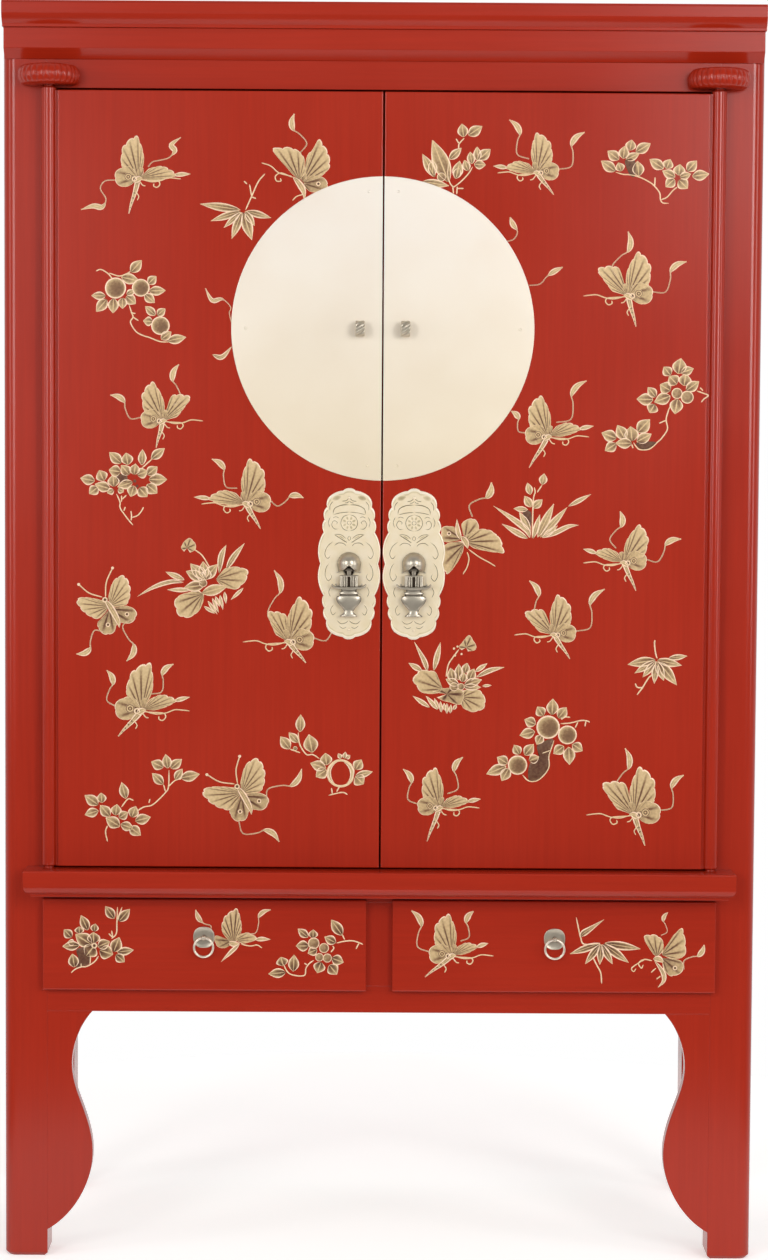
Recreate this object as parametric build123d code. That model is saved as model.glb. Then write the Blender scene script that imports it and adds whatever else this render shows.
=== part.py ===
"""Chinese wedding cabinet: two pivot doors over two drawers, on four legs.

Millimetres. The origin is on the floor under the middle of the whole cabinet,
+X to the right, +Y to the back, +Z up, so the doors face -Y.
Handed pieces are drawn once, for the right-hand side, and mirrored for the left.
"""
import math
import os

from build123d import *

# ---------------------------------------------------------------- the case
case_width = 1130.0          # over the posts
case_height = 1880.0
case_depth = 478.0           # from the posts' front faces to the back
post_size = 65.0
post_round = 18.0            # large round on the outer front corner of a front post
post_ease = 2.0              # small round on a post's other long corners
foot_ease = 5.0              # chamfer round the bottom of a foot
rail_thickness = 30.0
rail_setback = 3.0           # side and rear rails stand this far inside the posts' faces
panel_thickness = 12.0
top_board_thickness = 20.0
tall_rail_height = 85.0      # top side and top rear rails
low_rail_height = 80.0       # bottom side and bottom rear rails
muntin_width = 70.0

# ---------------------------------------------------------------- levels from the floor
apron_underside = 375.0
apron_showing = 34.5         # of the apron rail, below the drawers
drawer_front_height = 138.0
drawer_ledge_gap = 8.0       # between a drawer and the ledge above it
shelf_rise = 584.5           # from the cupboard floor to the shelf
top_rail_showing = 42.0      # of the top front rail, under the frieze

# ---------------------------------------------------------------- cornice
crown_height = 38.0
crown_reach = 30.0           # how far the crown stands in front of the posts
crown_face_height = 19.0     # flat face below the top edge
crown_face_round = 3.0
crown_fillet_reach = 20.0    # the small square member under the crown's curve
crown_fillet_height = 4.5
crown_end_inset = 1.5
frieze_height = 45.0
frieze_reach = 15.0
frieze_bevel_height = 15.0
frieze_bevel_foot = 2.0
frieze_end_inset = 3.0

# ---------------------------------------------------------------- pivot ledge
ledge_reach = 62.0
ledge_width = 1060.0
ledge_height = 40.0
ledge_ovolo = 13.0           # quarter-round along the lower edge
ledge_fillet_height = 4.5
ledge_fillet_inset = 10.0    # the square member under the ovolo is this much smaller
ledge_ease = 2.0

# ---------------------------------------------------------------- leg brackets
bracket_thickness = 22.0
bracket_foot_height = 41.0
bracket_top_width = 68.0     # along the underside of the apron, from the post
bracket_hollow_width = 37.5  # at the deepest point of the hollow
bracket_hollow_rise = 285.0  # height of that point
bracket_turn_width = 55.0    # where the hollow turns into the belly
bracket_turn_rise = 224.0
bracket_belly_width = 68.4   # at the widest point of the belly
bracket_belly_rise = 157.0
bracket_shoulder_slope = (0.9, -1.0)   # direction of the outline where it leaves the apron
bracket_foot_slope = (1.0, -0.55)      # and where it reaches the foot

# ---------------------------------------------------------------- doors
door_thickness = 20.0
door_frame_gap = 2.0         # between a door's back and the front of the case
door_meeting_gap = 2.5       # between the two doors
door_top_gap = 5.0           # under the top rail
door_bottom_gap = 2.5        # over the ledge
door_ease = 1.5
stile_diameter = 22.0        # round pivot stile
stile_axis_inset = 69.5      # from the side of the case to the stile's axis
stile_groove = 3.0           # open groove between the stile and the panel's face
stile_tongue = 10.0          # thickness of the panel's tongue into the stile
dowel_diameter = 14.0
dowel_length = 18.0
dowel_clearance = 0.05       # radial
dowel_end_gap = 1.0
batten_height = 50.0
batten_thickness = 16.0
batten_inset = 28.0          # from the panel's long edges
batten_end_margin = 60.0     # from the panel's top and bottom to the outer battens

# ---------------------------------------------------------------- pivot sockets
socket_radius = 47.0
socket_height = 30.0
socket_lobes = 28
socket_groove_depth = 2.2
socket_edge_round = 12.0
socket_stile_gap = 2.0       # between the socket and the thick part of the stile

# ---------------------------------------------------------------- brass and nickel fittings
plate_thickness = 1.5
moon_radius = 224.5
moon_drop = 353.5            # from the top of the door opening to the plate's middle
moon_ease = 0.5
eyelet_offset = 33.6         # from the middle of the cabinet
eyelet_radius = 11.7
eyelet_bore_radius = 6.0
eyelet_width = 13.7
eyelet_standoff = 12.7       # from the plate to the eyelet's axis
eyelet_shank_height = 9.0
escutcheon_offset = 48.2
escutcheon_height = 225.0
escutcheon_gap = 11.3        # between the moon plate and the escutcheons
escutcheon_belly = 46.2      # half width at the large lobes
boss_radius = 17.6
boss_wall = 2.2
boss_notch_width = 14.0
pin_radius = 1.5
pin_drop = 8.0               # below the boss's centre
pin_standoff = 9.0           # in front of the plate
eye_radius = 3.6
eye_clearance = 0.06
pull_depth = 8.0             # thickness of the vase, front to back
neck_width = 28.6
neck_depth = 4.0
neck_slot_width = 3.8
nail_radius = 2.2
nail_rise = 1.0
moon_nail_inset = 21.0       # from the plate's rim to a nail
moon_nail_side = 22.0        # from the meeting edge to the top and bottom nails
escutcheon_nail_margin = 14.0

# ---------------------------------------------------------------- drawers
drawer_reach = 14.0          # face of a drawer front, in front of the posts
drawer_closing_gap = 0.5
drawer_lip = 5.5             # how far a front covers the frame round its opening
drawer_stile_width = 50.0
drawer_tongue = 10.0         # the part of a front that enters the opening
drawer_clearance = 2.0       # sideways and above, in the opening
runner_clearance = 0.5
drawer_side_thickness = 12.0
drawer_side_height = 112.0
drawer_back_gap = 35.0       # between a drawer's back and the rear rail
drawer_bottom_thickness = 6.0
drawer_bottom_rise = 5.0
drawer_ease = 2.0
runner_width = 30.0
runner_thickness = 20.0
guide_width = 12.0
guide_height = 20.0
cleat_width = 20.0
cleat_height = 25.0
board_thickness = 18.0       # cupboard floor and shelf

# ---------------------------------------------------------------- ring pulls
ring_offset = 263.4          # from the middle of the cabinet
ring_plate_size = 32.0
ring_plate_corner = 11.0
stud_rise = 81.0             # from a drawer front's lower edge to its stud
stud_eye_radius = 4.2
stud_shank_height = 6.0
stud_width = 6.0
stud_ease = 1.2
stud_standoff = 6.0          # from the backplate to the ring's hole
ring_radius = 14.3           # to the middle of the wire
ring_wire_radius = 1.7
ring_hole_radius = 2.15

# ---------------------------------------------------------------- worked out
total_depth = case_depth + ledge_reach
front_y = ledge_reach - total_depth / 2
back_y = front_y + case_depth
half_width = case_width / 2
crown_bottom = case_height - crown_height
frieze_bottom = crown_bottom - frieze_height
door_opening_top = frieze_bottom - top_rail_showing
drawer_front_bottom = apron_underside + apron_showing
drawer_front_top = drawer_front_bottom + drawer_front_height
ledge_bottom = drawer_front_top + drawer_ledge_gap
ledge_top = ledge_bottom + ledge_height
shelf_top = ledge_top + shelf_rise
post_inner = half_width - post_size
rear_post_y = back_y - post_size
board_level = case_height - top_board_thickness
rail_back = front_y + rail_thickness
rear_rail_front = back_y - rail_setback - rail_thickness
side_rail_outer = half_width - rail_setback
side_rail_inner = side_rail_outer - rail_thickness
panel_inset = (rail_thickness - panel_thickness) / 2
side_panel_inner = side_rail_inner + panel_inset
rear_panel_front = rear_rail_front + panel_inset
low_rail_top = apron_underside + low_rail_height
tall_rail_bottom = board_level - tall_rail_height

opening_bottom = drawer_front_bottom + drawer_lip
opening_top = drawer_front_top - drawer_lip
opening_inner = drawer_stile_width / 2

door_back = front_y - door_frame_gap
door_face = door_back - door_thickness
door_bottom = ledge_top + door_bottom_gap
door_top = door_opening_top - door_top_gap
door_inner = door_meeting_gap / 2
stile_x = half_width - stile_axis_inset
stile_y = (door_back + door_face) / 2
stile_radius = stile_diameter / 2
door_outer = stile_x - stile_radius - stile_groove
socket_bottom = door_opening_top + socket_stile_gap
plate_face = door_face - plate_thickness
moon_height = door_opening_top - moon_drop
escutcheon_centre = moon_height - moon_radius - escutcheon_gap - escutcheon_height / 2

box_left = opening_inner + drawer_clearance
box_right = post_inner - drawer_clearance
box_bottom = opening_bottom + runner_clearance
box_top = box_bottom + drawer_side_height
box_front = front_y + drawer_tongue
box_back = rear_rail_front - drawer_back_gap
drawer_face = front_y - drawer_reach
ring_plate_face = drawer_face - plate_thickness
stud_centre = drawer_front_bottom + stud_rise


def block(x0, x1, y0, y1, z0, z1):
    """A straight board between two corners."""
    corner = (Align.MIN, Align.MIN, Align.MIN)
    return Pos(x0, y0, z0) * Box(x1 - x0, y1 - y0, z1 - z0, align=corner)


def upright(x, y, z0, z1, radius):
    """A round bar standing along Z."""
    return Pos(x, y, z0) * Cylinder(radius, z1 - z0, align=(Align.CENTER, Align.CENTER, Align.MIN))


def crossbar(x, y, z, radius, length):
    """A round bar lying along X, centred on a point."""
    return Pos(x, y, z) * Rot(0, 90, 0) * Cylinder(radius, length)


def left_hand(shape):
    return mirror(shape, about=Plane.YZ)


def along_x(points_or_edges, half_length):
    """Carry a closed profile, drawn in Y and Z, along X to both sides of the middle."""
    face = Plane.YZ * make_face(points_or_edges)
    return extrude(face, amount=half_length, both=True)


def front_outline(edges, y_front, thickness):
    """Cut a board out of a closed outline drawn in X and Z, from its front face backwards."""
    face = Plane.XZ * make_face(edges)
    board = extrude(face, amount=-thickness)
    return Pos(0, y_front, 0) * board


# ---------------------------------------------------------------- case pieces
def front_post():
    """Square post with a large round down its outer front corner."""
    post = block(post_inner, half_width, front_y, front_y + post_size, 0, board_level)
    long_edges = post.edges().filter_by(Axis.Z)
    outer_front = long_edges.sort_by(Axis.Y)[:2].sort_by(Axis.X)[-1]
    post = fillet(outer_front, post_round)
    post = chamfer(post.faces().sort_by(Axis.Z)[0].edges(), foot_ease)
    return post


def rear_post():
    """Square post with eased long corners."""
    post = block(post_inner, half_width, rear_post_y, back_y, 0, board_level)
    post = chamfer(post.faces().sort_by(Axis.Z)[0].edges(), foot_ease)
    return fillet(post.edges().filter_by(Axis.Z), post_ease)


def crown_moulding():
    """Flat face over a hollowed curve and a small square member, planted on the front."""
    face_y = front_y - crown_reach
    fillet_y = front_y - crown_fillet_reach
    face_foot = case_height - crown_face_height
    fillet_top = crown_bottom + crown_fillet_height
    outline = [
        Polyline((front_y, case_height), (face_y + crown_face_round, case_height)),
        RadiusArc((face_y + crown_face_round, case_height), (face_y, case_height - crown_face_round),
                  crown_face_round),
        Line((face_y, case_height - crown_face_round), (face_y, face_foot)),
        ThreePointArc((face_y, face_foot),
                      (face_y + 0.35 * (crown_reach - crown_fillet_reach), (face_foot + fillet_top) / 2),
                      (fillet_y, fillet_top)),
        Polyline((fillet_y, fillet_top), (fillet_y, crown_bottom), (front_y, crown_bottom),
                 (front_y, case_height)),
    ]
    return along_x(outline, half_width - crown_end_inset)


def frieze_board():
    """Flat board under the crown, with a bevelled foot that runs back to the rail."""
    face_y = front_y - frieze_reach
    outline = Polyline(
        (front_y, crown_bottom), (face_y, crown_bottom), (face_y, frieze_bottom + frieze_bevel_height),
        (front_y - frieze_bevel_foot, frieze_bottom), (front_y, frieze_bottom), close=True)
    return along_x(outline, half_width - frieze_end_inset)


def top_board():
    board = block(-half_width, half_width, front_y, back_y, board_level, case_height)
    return fillet(board.edges().filter_by(Axis.Z).sort_by(Axis.Y)[2:], post_ease)


def front_rail(z0, z1):
    return block(-post_inner, post_inner, front_y, rail_back, z0, z1)


def rear_rail(z0, z1):
    return block(-post_inner, post_inner, rear_rail_front, back_y - rail_setback, z0, z1)


def side_rail(z0, z1):
    return block(side_rail_inner, side_rail_outer, front_y + post_size, rear_post_y, z0, z1)


def side_panel():
    return block(side_panel_inner, side_panel_inner + panel_thickness,
                 front_y + post_size, rear_post_y, low_rail_top, tall_rail_bottom)


def rear_muntin():
    return block(-muntin_width / 2, muntin_width / 2, rear_rail_front, back_y - rail_setback,
                 low_rail_top, tall_rail_bottom)


def back_panels():
    panel = block(muntin_width / 2, post_inner, rear_panel_front, rear_panel_front + panel_thickness,
                  low_rail_top, tall_rail_bottom)
    return Compound([left_hand(panel), panel])


def drawer_stile():
    return block(-opening_inner, opening_inner, front_y, rail_back, opening_bottom, opening_top)


def pivot_ledge():
    """Board with a quarter-round and a small square member below, and a hole for each dowel."""
    half = ledge_width / 2
    ledge_front = front_y - ledge_reach
    body_bottom = ledge_bottom + ledge_fillet_height
    body = block(-half, half, ledge_front, front_y, body_bottom, ledge_top)
    at_wall = body.faces().sort_by(Axis.Y)[-1].edges()
    lower = body.faces().sort_by(Axis.Z)[0].edges() - at_wall
    body = fillet(lower, ledge_ovolo)
    wall_edges = body.faces().sort_by(Axis.Y)[-1].edges()
    upper = body.faces().sort_by(Axis.Z)[-1].edges() - wall_edges
    body = fillet(upper, ledge_ease)
    foot_half = half - ledge_fillet_inset
    foot = block(-foot_half, foot_half, ledge_front + ledge_ovolo, front_y, ledge_bottom, body_bottom)
    ledge = body + foot
    for side in (-1, 1):
        depth = ledge_top - dowel_length - dowel_end_gap
        ledge -= upright(side * stile_x, stile_y, depth, ledge_top, dowel_diameter / 2 + dowel_clearance)
    return ledge


def leg_bracket():
    """Curved board under the apron: a hollow above, a round belly, and a curl in to the foot."""
    hollow = (post_inner - bracket_hollow_width, bracket_hollow_rise)
    turn = (post_inner - bracket_turn_width, bracket_turn_rise)
    belly = (post_inner - bracket_belly_width, bracket_belly_rise)
    top_corner = (post_inner - bracket_top_width, apron_underside)
    foot_corner = (post_inner, bracket_foot_height)
    outline = [
        Polyline(foot_corner, (post_inner, apron_underside), top_corner),
        Spline(top_corner, hollow, turn, belly, foot_corner,
               tangents=(bracket_shoulder_slope, bracket_foot_slope), tangent_scalars=(1, 1)),
    ]
    return front_outline(outline, front_y, bracket_thickness)


def between_posts(z_top):
    """Board that fills the case from the front rails to the back panels, notched round the posts."""
    board = block(-side_panel_inner, side_panel_inner, rail_back, rear_rail_front,
                  z_top - board_thickness, z_top)
    for side in (-1, 1):
        near, far = sorted((side * post_inner, side * half_width))
        board -= block(near, far, front_y, front_y + post_size, 0, case_height)
        board -= block(near, far, rear_post_y, back_y, 0, case_height)
    return board


def board_cleats():
    """Strips on the side panels that carry the cupboard floor and the shelf."""
    cleats = []
    for level in (ledge_top, shelf_top):
        top = level - board_thickness
        cleat = block(side_panel_inner - cleat_width, side_panel_inner,
                      front_y + post_size, rear_post_y, top - cleat_height, top)
        cleats += [cleat, left_hand(cleat)]
    return Compound(cleats)


def drawer_runners():
    """A runner at each side and a wide one between the drawers, each with its guide strip."""
    z0 = opening_bottom - runner_thickness
    z1 = opening_bottom + guide_height
    side = block(post_inner - runner_width, post_inner, rail_back, rear_rail_front, z0, opening_bottom)
    side_guide = block(post_inner, post_inner + guide_width, front_y + post_size, rear_post_y, z0, z1)
    reach = opening_inner + runner_width
    middle = block(-reach, reach, rail_back, rear_rail_front, z0, opening_bottom)
    middle_guide = block(-opening_inner, opening_inner, rail_back, rear_rail_front, opening_bottom, z1)
    return Compound([left_hand(side), left_hand(side_guide), middle, middle_guide, side, side_guide])


def pivot_socket():
    """Flattened melon, half of which stands out of the rail, with a hole below for the dowel."""
    r, h, e = socket_radius, socket_height, socket_edge_round
    outline = [
        Polyline((0, 0), (r - e, 0)),
        ThreePointArc((r - e, 0), (r, h / 2), (r - e, h)),
        Polyline((r - e, h), (0, h), (0, 0)),
    ]
    melon = revolve(Plane.XZ * make_face(outline), Axis.Z)
    groove_radius = math.pi * r / socket_lobes / 2
    groove_centre = r + groove_radius - socket_groove_depth
    for index in range(socket_lobes):
        angle = 360 / socket_lobes * (index + 0.5)
        if math.sin(math.radians(angle)) < 0.3:
            melon -= Rot(0, 0, angle) * upright(groove_centre, 0, 0, h, groove_radius)
    bun = Pos(stile_x, stile_y, socket_bottom) * melon
    bun -= block(stile_x - 2 * r, stile_x + 2 * r, front_y, front_y + 2 * r, socket_bottom - 1,
                 socket_bottom + h + 1)
    hole_top = socket_bottom + dowel_length + dowel_end_gap - socket_stile_gap
    return bun - upright(stile_x, stile_y, socket_bottom, hole_top, dowel_diameter / 2 + dowel_clearance)


# ---------------------------------------------------------------- door pieces
def pivot_stile():
    """Round stile turned down to a dowel at both ends."""
    z0 = door_bottom
    z1 = door_opening_top
    bar = upright(stile_x, stile_y, z0, z1, stile_radius)
    bar = chamfer(bar.edges().filter_by(GeomType.CIRCLE), door_ease)
    low = ledge_top - dowel_length
    high = z1 + dowel_length
    return bar + upright(stile_x, stile_y, low, high, dowel_diameter / 2)


def door_panel():
    """Flat panel with eased edges and a tongue that is hollowed to the round stile."""
    panel = block(door_inner, door_outer, door_face, door_back, door_bottom, door_top)
    panel = fillet(panel.faces().sort_by(Axis.Y)[0].edges(), door_ease)
    tongue = block(door_outer, stile_x, stile_y - stile_tongue / 2, stile_y + stile_tongue / 2,
                   door_bottom, door_top)
    return panel + (tongue - upright(stile_x, stile_y, door_bottom, door_top, stile_radius))


def door_battens():
    """Three level strips across the back of a door."""
    low = door_bottom + batten_end_margin
    high = door_top - batten_end_margin - batten_height
    strips = []
    for z0 in (low, (low + high) / 2, high):
        strips.append(block(door_inner + batten_inset, door_outer - batten_inset,
                            door_back, door_back + batten_thickness, z0, z0 + batten_height))
    return Compound(strips)


def moon_plate():
    """Half of the round plate, cut off at the door's meeting edge."""
    disc = Pos(0, plate_face, moon_height) * Rot(-90, 0, 0) * Cylinder(
        moon_radius, plate_thickness, align=(Align.CENTER, Align.CENTER, Align.MIN))
    disc = fillet(disc.faces().sort_by(Axis.Y)[0].edges(), moon_ease)
    return disc & block(door_inner, 2 * moon_radius, plate_face, door_face,
                        moon_height - 2 * moon_radius, moon_height + 2 * moon_radius)


def lock_eyelet():
    """Short tube lying along X on a flat shank, for the bar of a padlock."""
    axis_y = plate_face - eyelet_standoff
    tube = crossbar(eyelet_offset, axis_y, moon_height, eyelet_radius, eyelet_width)
    shank = block(eyelet_offset - eyelet_width / 2, eyelet_offset + eyelet_width / 2, axis_y, plate_face,
                  moon_height - eyelet_shank_height / 2, moon_height + eyelet_shank_height / 2)
    bore = crossbar(eyelet_offset, axis_y, moon_height, eyelet_bore_radius, 2 * eyelet_width)
    return tube + shank - bore


def lobed_quarter():
    """One quarter of the escutcheon's edge, from its side to its tip, in X and Z from its centre."""
    w = escutcheon_belly
    h = escutcheon_height / 2
    notch = [(0.93 * w, 0), (0.82 * w, 0.42 * h), (0.79 * w, 0.585 * h), (0.72 * w, 0.75 * h),
             (0.56 * w, 0.915 * h), (0.2 * w, 0.968 * h), (0, h)]
    swell = [(w, 0.19 * h), (0.865 * w, 0.505 * h), (0.825 * w, 0.67 * h), (0.7 * w, 0.85 * h),
             (0.39 * w, 0.951 * h), (0.12 * w, 0.992 * h)]
    return Wire([ThreePointArc(notch[i], swell[i], notch[i + 1]) for i in range(len(swell))])


def escutcheon():
    """Scalloped plate, the same on both sides and at both ends."""
    quarter = lobed_quarter()
    half = Wire([*quarter.edges(), *mirror(quarter, about=Plane.XZ).edges()])
    outline = Wire([*half.edges(), *mirror(half, about=Plane.YZ).edges()])
    plate = extrude(Plane.XZ * make_face(outline), amount=-plate_thickness)
    return Pos(escutcheon_offset, plate_face, escutcheon_centre) * plate


def pull_boss():
    """Hollow dome with a notch below, and the pin that the pull hangs on."""
    centre = Pos(escutcheon_offset, plate_face, escutcheon_centre)
    dome = centre * Sphere(boss_radius)
    dome -= centre * Sphere(boss_radius - boss_wall)
    reach = 2 * boss_radius
    x = escutcheon_offset
    z = escutcheon_centre
    dome &= block(x - reach, x + reach, plate_face - reach, plate_face, z - reach, z + reach)
    half = boss_notch_width / 2
    dome -= block(x - half, x + half, plate_face - reach, plate_face, z - reach, z - pin_drop)
    dome -= Pos(x, plate_face - reach / 2, z - pin_drop) * Rot(90, 0, 0) * Cylinder(half, reach)
    pin_y = plate_face - pin_standoff
    inside = math.sqrt((boss_radius - boss_wall / 2) ** 2 - pin_standoff ** 2 - pin_drop ** 2)
    return dome + crossbar(x, pin_y, z - pin_drop, pin_radius, 2 * inside)


def vase_outline():
    """Right half of the vase, in X and in Z below the boss's centre, from its neck to its foot."""
    rim = (25.0, -30.2)
    rim_foot = (10.5, -40.5)
    shoulder = (13.0, -45.5)
    belly = (18.8, -52.0)
    waist = (7.6, -69.0)
    foot = (12.2, -76.0)
    return [
        Line((neck_width / 2, -33.0), (neck_width / 2, -34.5)),
        ThreePointArc((neck_width / 2, -34.5), (19.5, -33.6), rim),
        ThreePointArc(rim, (19.8, -37.4), rim_foot),
        Line(rim_foot, shoulder),
        ThreePointArc(shoulder, (17.6, -47.6), belly),
        ThreePointArc(belly, (16.0, -60.5), waist),
        ThreePointArc(waist, (8.4, -73.0), foot),
        Line(foot, (12.2, -78.0)),
    ]


def vase_pull():
    """Flat cast vase on a slotted neck, with an eye round the boss's pin."""
    x = escutcheon_offset
    z = escutcheon_centre
    pin_y = plate_face - pin_standoff
    pin_z = z - pin_drop
    right = vase_outline()
    top = right[0] @ 0
    bottom = right[-1] @ 1
    edges = [*right]
    for edge in right:
        edges.append(mirror(edge, about=Plane.YZ))
    edges.append(Line((-top.X, top.Y), (top.X, top.Y)))
    edges.append(Line((-bottom.X, bottom.Y), (bottom.X, bottom.Y)))
    body = extrude(Plane.XZ * make_face(edges), amount=pull_depth / 2, both=True)
    body = Pos(x, pin_y, z) * body
    half = neck_width / 2
    neck_top = -boss_radius - 1.0
    neck = block(x - half, x + half, pin_y - neck_depth / 2, pin_y + neck_depth / 2,
                 z + top.Y, z + neck_top)
    tab_half = boss_notch_width / 2 - 1.0
    tab = block(x - tab_half, x + tab_half, pin_y - neck_depth / 2, pin_y + neck_depth / 2,
                z + neck_top, pin_z)
    eye = crossbar(x, pin_y, pin_z, eye_radius, 2 * tab_half)
    pull = body + neck + tab + eye
    pull -= block(x - neck_slot_width / 2, x + neck_slot_width / 2, pin_y - neck_depth, pin_y + neck_depth,
                  z + top.Y + neck_slot_width, pin_z - eye_radius - neck_slot_width / 2)
    return pull - crossbar(x, pin_y, pin_z, pin_radius + eye_clearance, boss_radius * 2)


def nail(x, z):
    """Low domed head on a plate."""
    ball = (nail_radius ** 2 + nail_rise ** 2) / (2 * nail_rise)
    head = Pos(x, plate_face - nail_rise + ball, z) * Sphere(ball)
    reach = 2 * ball
    return head & block(x - reach, x + reach, plate_face - reach, plate_face, z - reach, z + reach)


def door_nails():
    """The nails that hold the moon plate and the escutcheon."""
    reach = moon_radius - moon_nail_inset
    rise = math.sqrt(reach ** 2 - moon_nail_side ** 2)
    end = escutcheon_height / 2 - escutcheon_nail_margin
    places = [(moon_nail_side, moon_height + rise), (reach, moon_height),
              (moon_nail_side, moon_height - rise),
              (escutcheon_offset, escutcheon_centre + end), (escutcheon_offset, escutcheon_centre - end)]
    return Compound([nail(x, z) for x, z in places])


# ---------------------------------------------------------------- drawer pieces
def drawer_front():
    """Face board that covers its opening all round, with a tongue that enters it."""
    x0 = opening_inner - drawer_lip
    x1 = post_inner + drawer_lip
    slab = block(x0, x1, drawer_face, front_y - drawer_closing_gap, drawer_front_bottom, drawer_front_top)
    slab = fillet(slab.faces().sort_by(Axis.Y)[0].edges(), drawer_ease)
    tongue = block(box_left, box_right, front_y - drawer_closing_gap, box_front, box_bottom,
                   opening_top - drawer_clearance)
    return slab + tongue


def drawer_sides():
    sides = []
    for x in (box_left, box_right - drawer_side_thickness):
        sides.append(block(x, x + drawer_side_thickness, box_front, box_back, box_bottom, box_top))
    return Compound(sides)


def drawer_back():
    return block(box_left + drawer_side_thickness, box_right - drawer_side_thickness,
                 box_back - drawer_side_thickness, box_back, box_bottom, box_top)


def drawer_bottom():
    z0 = box_bottom + drawer_bottom_rise
    return block(box_left + drawer_side_thickness, box_right - drawer_side_thickness,
                 box_front, box_back - drawer_side_thickness, z0, z0 + drawer_bottom_thickness)


def ring_plate():
    """Small square plate with very round corners."""
    half = ring_plate_size / 2
    plate = block(ring_offset - half, ring_offset + half, ring_plate_face, drawer_face,
                  stud_centre - half, stud_centre + half)
    return fillet(plate.edges().filter_by(Axis.Y), ring_plate_corner)


def ring_stud():
    """Eye on a short shank, with its outer corners rounded."""
    hole_y = ring_plate_face - stud_standoff
    half = stud_shank_height / 2
    stud = crossbar(ring_offset, hole_y, stud_centre, stud_eye_radius, stud_width)
    stud = fillet(stud.edges().filter_by(GeomType.CIRCLE), stud_ease)
    side = stud_width / 2 - stud_ease
    stud += block(ring_offset - side, ring_offset + side, hole_y, ring_plate_face,
                  stud_centre - half, stud_centre + half)
    return stud - crossbar(ring_offset, hole_y, stud_centre, ring_hole_radius, 2 * stud_width)


def ring_mount():
    """The plate and its stud."""
    return Compound([ring_plate(), ring_stud()])


def ring_pull():
    """Wire ring that hangs in the stud's hole."""
    hole_y = ring_plate_face - stud_standoff
    ring = Torus(ring_radius, ring_wire_radius)
    return Pos(ring_offset, hole_y, stud_centre - ring_radius) * Rot(90, 0, 0) * ring


# ---------------------------------------------------------------- all the pieces
parts = {
    "crown_moulding": crown_moulding(),
    "frieze_board": frieze_board(),
    "top_board": top_board(),
    "top_front_rail": front_rail(door_opening_top, board_level),
    "middle_front_rail": front_rail(opening_top, ledge_top),
    "front_apron_rail": front_rail(apron_underside, opening_bottom),
    "top_rear_rail": rear_rail(tall_rail_bottom, board_level),
    "bottom_rear_rail": rear_rail(apron_underside, low_rail_top),
    "rear_muntin": rear_muntin(),
    "drawer_stile": drawer_stile(),
    "pivot_ledge": pivot_ledge(),
    "cupboard_floor": between_posts(ledge_top),
    "shelf": between_posts(shelf_top),
    "back_panels": back_panels(),
    "board_cleats": board_cleats(),
    "drawer_runners": drawer_runners(),
}

handed = {
    "front_{}_post": front_post,
    "rear_{}_post": rear_post,
    "{}_leg_bracket": leg_bracket,
    "{}_side_panel": side_panel,
    "{}_pivot_socket": pivot_socket,
    "{}_pivot_stile": pivot_stile,
    "{}_door_panel": door_panel,
    "{}_door_battens": door_battens,
    "{}_moon_plate": moon_plate,
    "{}_lock_eyelet": lock_eyelet,
    "{}_escutcheon": escutcheon,
    "{}_pull_boss": pull_boss,
    "{}_vase_pull": vase_pull,
    "{}_door_nails": door_nails,
    "{}_drawer_front": drawer_front,
    "{}_drawer_sides": drawer_sides,
    "{}_drawer_back": drawer_back,
    "{}_drawer_bottom": drawer_bottom,
    "{}_ring_mount": ring_mount,
    "{}_ring_pull": ring_pull,
}

for name, make in handed.items():
    piece = make()
    parts[name.format("right")] = piece
    parts[name.format("left")] = left_hand(piece)

for name, rail in {"top": side_rail(tall_rail_bottom, board_level),
                   "bottom": side_rail(apron_underside, low_rail_top)}.items():
    parts["right_" + name + "_side_rail"] = rail
    parts["left_" + name + "_side_rail"] = left_hand(rail)

os.makedirs("parts", exist_ok=True)
for name, piece in parts.items():
    export_step(piece, "parts/" + name + ".step")
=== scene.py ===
"""A red lacquered Chinese wedding cabinet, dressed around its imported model."""
import math

import bmesh
import bpy
import numpy as np
from mathutils import Matrix, Vector


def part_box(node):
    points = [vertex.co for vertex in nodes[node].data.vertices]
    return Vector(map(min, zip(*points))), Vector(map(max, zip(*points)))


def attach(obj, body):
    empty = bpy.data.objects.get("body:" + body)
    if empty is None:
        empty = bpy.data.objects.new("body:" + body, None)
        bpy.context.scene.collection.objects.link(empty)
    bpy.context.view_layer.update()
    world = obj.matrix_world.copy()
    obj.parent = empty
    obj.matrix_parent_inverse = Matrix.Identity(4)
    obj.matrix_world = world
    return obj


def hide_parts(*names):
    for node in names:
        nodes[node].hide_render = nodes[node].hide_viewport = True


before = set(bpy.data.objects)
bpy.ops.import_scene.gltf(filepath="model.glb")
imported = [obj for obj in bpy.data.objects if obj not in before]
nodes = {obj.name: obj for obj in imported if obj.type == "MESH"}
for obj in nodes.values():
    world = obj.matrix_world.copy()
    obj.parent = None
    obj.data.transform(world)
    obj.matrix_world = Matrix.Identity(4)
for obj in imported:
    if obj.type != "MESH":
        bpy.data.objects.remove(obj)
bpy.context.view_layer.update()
scene = bpy.context.scene
scene.view_settings.view_transform = "Standard"

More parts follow.
